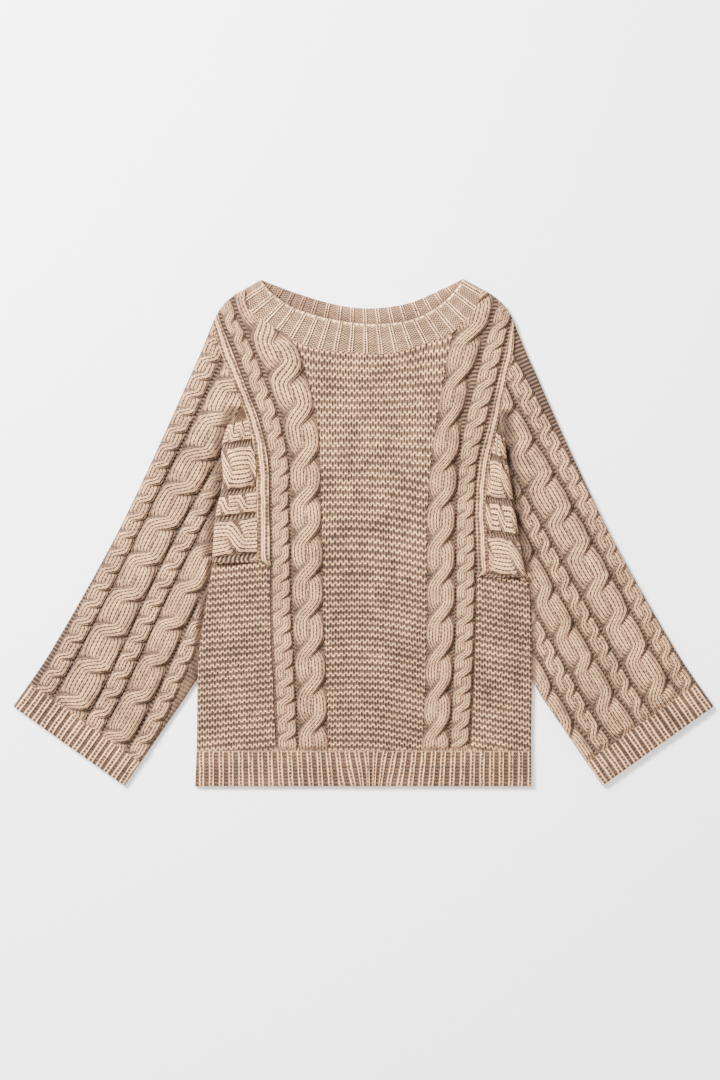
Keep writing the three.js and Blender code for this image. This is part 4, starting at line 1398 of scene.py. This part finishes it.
class SWEATER_OT_sleeves(bpy.types.Operator):
    """Knits both sleeves, with their cables along the upper edge"""

    bl_idname = "sweater.sleeves"
    bl_label = "Sleeves"

    def zones(self, half, along):
        """Kind, settings and both sides of each zone across the sleeve, from its upper edge in."""
        last = np.full(along.shape, SLEEVE_REACH[0])
        for settings in half["columns"]:
            low = follow(STATIONS, settings["low"], along)
            high = follow(STATIONS, settings["high"], along)
            yield None, last, low
            yield settings, low, high
            last = high
        yield None, last, np.full(along.shape, SLEEVE_REACH[1])

    def sleeve(self, half):
        edge = SleeveEdge(half["sign"])
        along = evenly(*SLEEVE_TURNS, SLEEVE_STEP[1])[:, None]
        sheets = []
        for settings, low, high in self.zones(half, along):
            width = high - low
            shares = shares_of(width, SLEEVE_STEP[0])
            offset = mix(low, high, shares)
            across = shares if half["sign"] < 0 else 1 - shares
            if settings:
                knit = cable(across, settings["crossing"] - along, width, CABLES[settings["cable"]])
            elif np.mean(width) < 20:
                knit = gutter(across, -along, width)
            else:
                knit = purl(offset, -along)
            sheets.append(Sheet(*edge.place(along, offset), SLEEVE_TOP + knit.rise, knit))
        sheet = side_by_side(sheets)
        outline = sided(sleeve_runs(half), half)
        self.press(sheet, half)
        # Beside the body the sleeve sinks under the body's edge and takes painted shade there
        side = side_line(half, SIDE_LEAVES_Y, half["side"]["y"][0]) * (half["sign"], 1)
        under = 1 - ease(distance_to(sheet.x, sheet.y, [side]) / UNDER_REACH)
        sheet.z = mix(sheet.z, UNDER_SIDE, under)
        sheet.paint_shading(UNDER_SHADE * under)
        seam = [np.array([end * (half["sign"], 1) for end in cuff_seam()])]
        nearby = 1 - ease(distance_to(sheet.x, sheet.y, seam) / CUFF_REACH)
        sheet.z = mix(sheet.z, SLEEVE_TOP, nearby)
        tube_piece(f"{half['name']}_sleeve", sheet, outline, (430, 480))

    def press(self, sheet, half):
        """Flattens the cloth that lies under the fold at the underarm, and sinks it beside the fold with
        painted shade in that trough.
        """
        fold = half["fold"]
        outward = half["sign"] * sheet.x - follow(fold["y"], fold["x"], sheet.y)
        within = ease((fold["y"][-1] - 4 - sheet.y) / 8) * ease((sheet.y - fold["y"][0] - 2) / 8)
        sheet.z = mix(sheet.z, PRESSED, ease((-5 - outward) / 4) * within)
        beside = np.exp(-((outward - 2) / TROUGH) ** 2) * within
        sheet.z = sheet.z - TROUGH_DEPTH * beside
        # Painted shade in the trough beside the fold
        sheet.paint_shading(TROUGH_SHADE * beside)

    def execute(self, context):
        for half in HALVES:
            self.sleeve(half)
        return {"FINISHED"}


class SWEATER_OT_folds(bpy.types.Operator):
    """Knits the folds of both sleeves at the underarms"""

    bl_idname = "sweater.folds"
    bl_label = "Sleeve folds"

    def fold(self, half):
        fold = half["fold"]
        low, high = fold["y"][0], fold["y"][-1]
        ys = evenly(low, high, FOLD_STEP[1])[:, None]
        seam = guide(half, "armhole", ys) + SEAM_GAP
        edge = follow(fold["y"], fold["x"], ys)
        rise = np.maximum(follow(fold["y"], fold["rise"], ys), 0.3)
        shares = shares_of(FOLD_WIDTH, FOLD_STEP[0])
        lip = np.minimum(FOLD_LIP, (edge - seam) * 0.45)
        turn = np.clip((shares - FOLD_FLAT) / FOLD_TURN, 0, 1) * np.pi / 2
        level = mix(seam, edge - lip, shares / FOLD_FLAT)
        out = np.where(shares < FOLD_FLAT, level, edge - lip * (1 - np.sin(turn)))
        crest = SLEEVE_TOP + rise * ease(shares / 0.7) ** 0.7
        base = mix(ROLL_UNDER + 0.8, crest, np.cos(turn) ** 0.8)
        reach = shares * FOLD_WIDTH
        bars = rungs(reach + 0.4 * ys)
        # The ground between the fold's cables, with painted shade between its rungs
        ground = Knit(1.2 * bars - GUTTER_DEPTH, reach / GARTER_WIDTH, ys / KNIT_ROW, 0.85 * bars - 0.15, 0)
        fields = ground.fields
        for bands in half["bands"]:
            width = np.array(float(bands["high"] - bands["low"]))
            share = (ys + FOLD_LEAN * reach - bands["low"]) / width
            along = half["sign"] * (reach - bands["crossing"])
            knit = cable(1 - share, along, width, CABLES[bands["cable"]])
            within = (share > 0) & (share < 1)
            fields = [np.where(within, new, old) for new, old in zip(knit.fields, fields)]
        knit = Knit(*fields)
        flat = np.cos(turn) ** 0.5
        sheet = Sheet(half["sign"] * out, ys, base + knit.rise * flat, knit)
        # Painted light on the fold, which lies highest
        sheet.paint_shading(1 - FOLD_PAINTED_LIGHT)
        name = f"{half['name']}_sleeve_fold"
        piece = slab(name, sheet, ROLL_UNDER)
        finish_piece(piece, "sleeve_cable", [f"{half['name']}_sleeve"], (60, high - low))

    def execute(self, context):
        for half in HALVES:
            self.fold(half)
        return {"FINISHED"}


class SWEATER_OT_cuffs(bpy.types.Operator):
    """Knits the rib at the end of both sleeves"""

    bl_idname = "sweater.cuffs"
    bl_label = "Cuffs"

    def cuff(self, half):
        outer, inner = cuff_seam()
        tip, low = points_of(SLEEVE_EDGE)[-1], np.array(CUFF_INNER)
        wide = np.linalg.norm(tip - low)
        shares = evenly(*CUFF_SPANS[0], CUFF_STEP[0] / wide)[None, :, None]
        along = evenly(*CUFF_SPANS[1], CUFF_STEP[1] / CUFF_DEPTH)[:, None, None]
        places = mix(mix(low, tip, shares), mix(inner, outer, shares), along)
        x, y = half["sign"] * places[..., 0], places[..., 1]
        ribs = round(wide / CUFF_RIB["pitch"])
        knit = rib(shares[..., 0] * ribs + 0.05 * drift(x, y, 30, 5), along[..., 0] * CUFF_DEPTH, CUFF_RIB)
        sheet = Sheet(x, y, SLEEVE_TOP + knit.rise, knit)
        outline = sided(cuff_runs(), half)
        gap = distance_to(x, y, [sided([run([CUFF_INNER, tip])], half)[0]["points"]])
        fall = np.sqrt(1 - (1 - np.clip(gap / 3, 0, 1)) ** 2)
        sheet.z = mix(SLEEVE_TOP - 1.5, sheet.z, fall)
        tube_piece(f"{half['name']}_cuff", sheet, outline, (370, 38))

    def execute(self, context):
        for half in HALVES:
            self.cuff(half)
        return {"FINISHED"}


class SWEATER_OT_stage(bpy.types.Operator):
    """Sets the floor, the soft lights and the camera that looks straight down"""

    bl_idname = "sweater.stage"
    bl_label = "Stage"

    def execute(self, context):
        sizes, colours = context.scene.sweater_sizes, context.scene.sweater_colours
        bpy.ops.object.select_all(action="DESELECT")
        bpy.ops.mesh.primitive_plane_add(size=FLOOR_SIZE, location=(0, 0, FLOOR_Z))
        floor = context.active_object
        floor.name = "floor"
        material = bpy.data.materials.new("floor_paper")
        material.use_nodes = True
        shader = material.node_tree.nodes["Principled BSDF"]
        shader.inputs["Base Color"].default_value = (*colours.floor, 1)
        shader.inputs["Roughness"].default_value = 1
        shader.inputs["Specular IOR Level"].default_value = 0
        floor.data.materials.append(material)
        for name, (place, power, size) in LIGHTS.items():
            light = bpy.data.lights.new(name, "AREA")
            light.energy = power
            light.size = size
            lamp = bpy.data.objects.new(name, light)
            lamp.location = place
            aim = lamp.location.copy()
            aim.negate()
            lamp.rotation_mode = "QUATERNION"
            lamp.rotation_quaternion = aim.to_track_quat("-Z", "Y")
            context.scene.collection.objects.link(lamp)
        world = bpy.data.worlds.new("pale_room")
        world.use_nodes = True
        room = world.node_tree.nodes["Background"].inputs
        room["Color"].default_value = (1, 1, 1, 1)
        room["Strength"].default_value = ROOM_LIGHT
        context.scene.world = world
        camera = bpy.data.cameras.new("camera")
        camera.lens = sizes.lens
        camera.sensor_width = 36
        seen = bpy.data.objects.new("camera", camera)
        seen.location = (*CAMERA_PLACE, sizes.camera_height)
        context.scene.collection.objects.link(seen)
        context.scene.camera = seen
        return {"FINISHED"}


class SWEATER_PT_panel(bpy.types.Panel):
    """Lists the sweater's pieces and their sizes"""

    bl_label = "Cable knit sweater"
    bl_space_type = "VIEW_3D"
    bl_region_type = "UI"
    bl_category = "Sweater"

    def draw(self, context):
        for group in (context.scene.sweater_sizes, context.scene.sweater_colours):
            for name in group.__annotations__:
                self.layout.prop(group, name)
        for operator in OPERATORS:
            self.layout.operator(operator.bl_idname)


OPERATORS = (
    SWEATER_OT_yarns, SWEATER_OT_front, SWEATER_OT_back, SWEATER_OT_hem, SWEATER_OT_neckband,
    SWEATER_OT_sleeves, SWEATER_OT_folds, SWEATER_OT_cuffs, SWEATER_OT_stage,
)
CLASSES = (SweaterSizes, SweaterColours, *OPERATORS, SWEATER_PT_panel)


def register():
    for made in CLASSES:
        bpy.utils.register_class(made)
    bpy.types.Scene.sweater_sizes = PointerProperty(type=SweaterSizes)
    bpy.types.Scene.sweater_colours = PointerProperty(type=SweaterColours)


def unregister():
    del bpy.types.Scene.sweater_colours
    del bpy.types.Scene.sweater_sizes
    for made in reversed(CLASSES):
        bpy.utils.unregister_class(made)


def main():
    register()
    for operator in OPERATORS:
        group, name = operator.bl_idname.split(".")
        getattr(getattr(bpy.ops, group), name)()


if __name__ == "__main__":
    main()
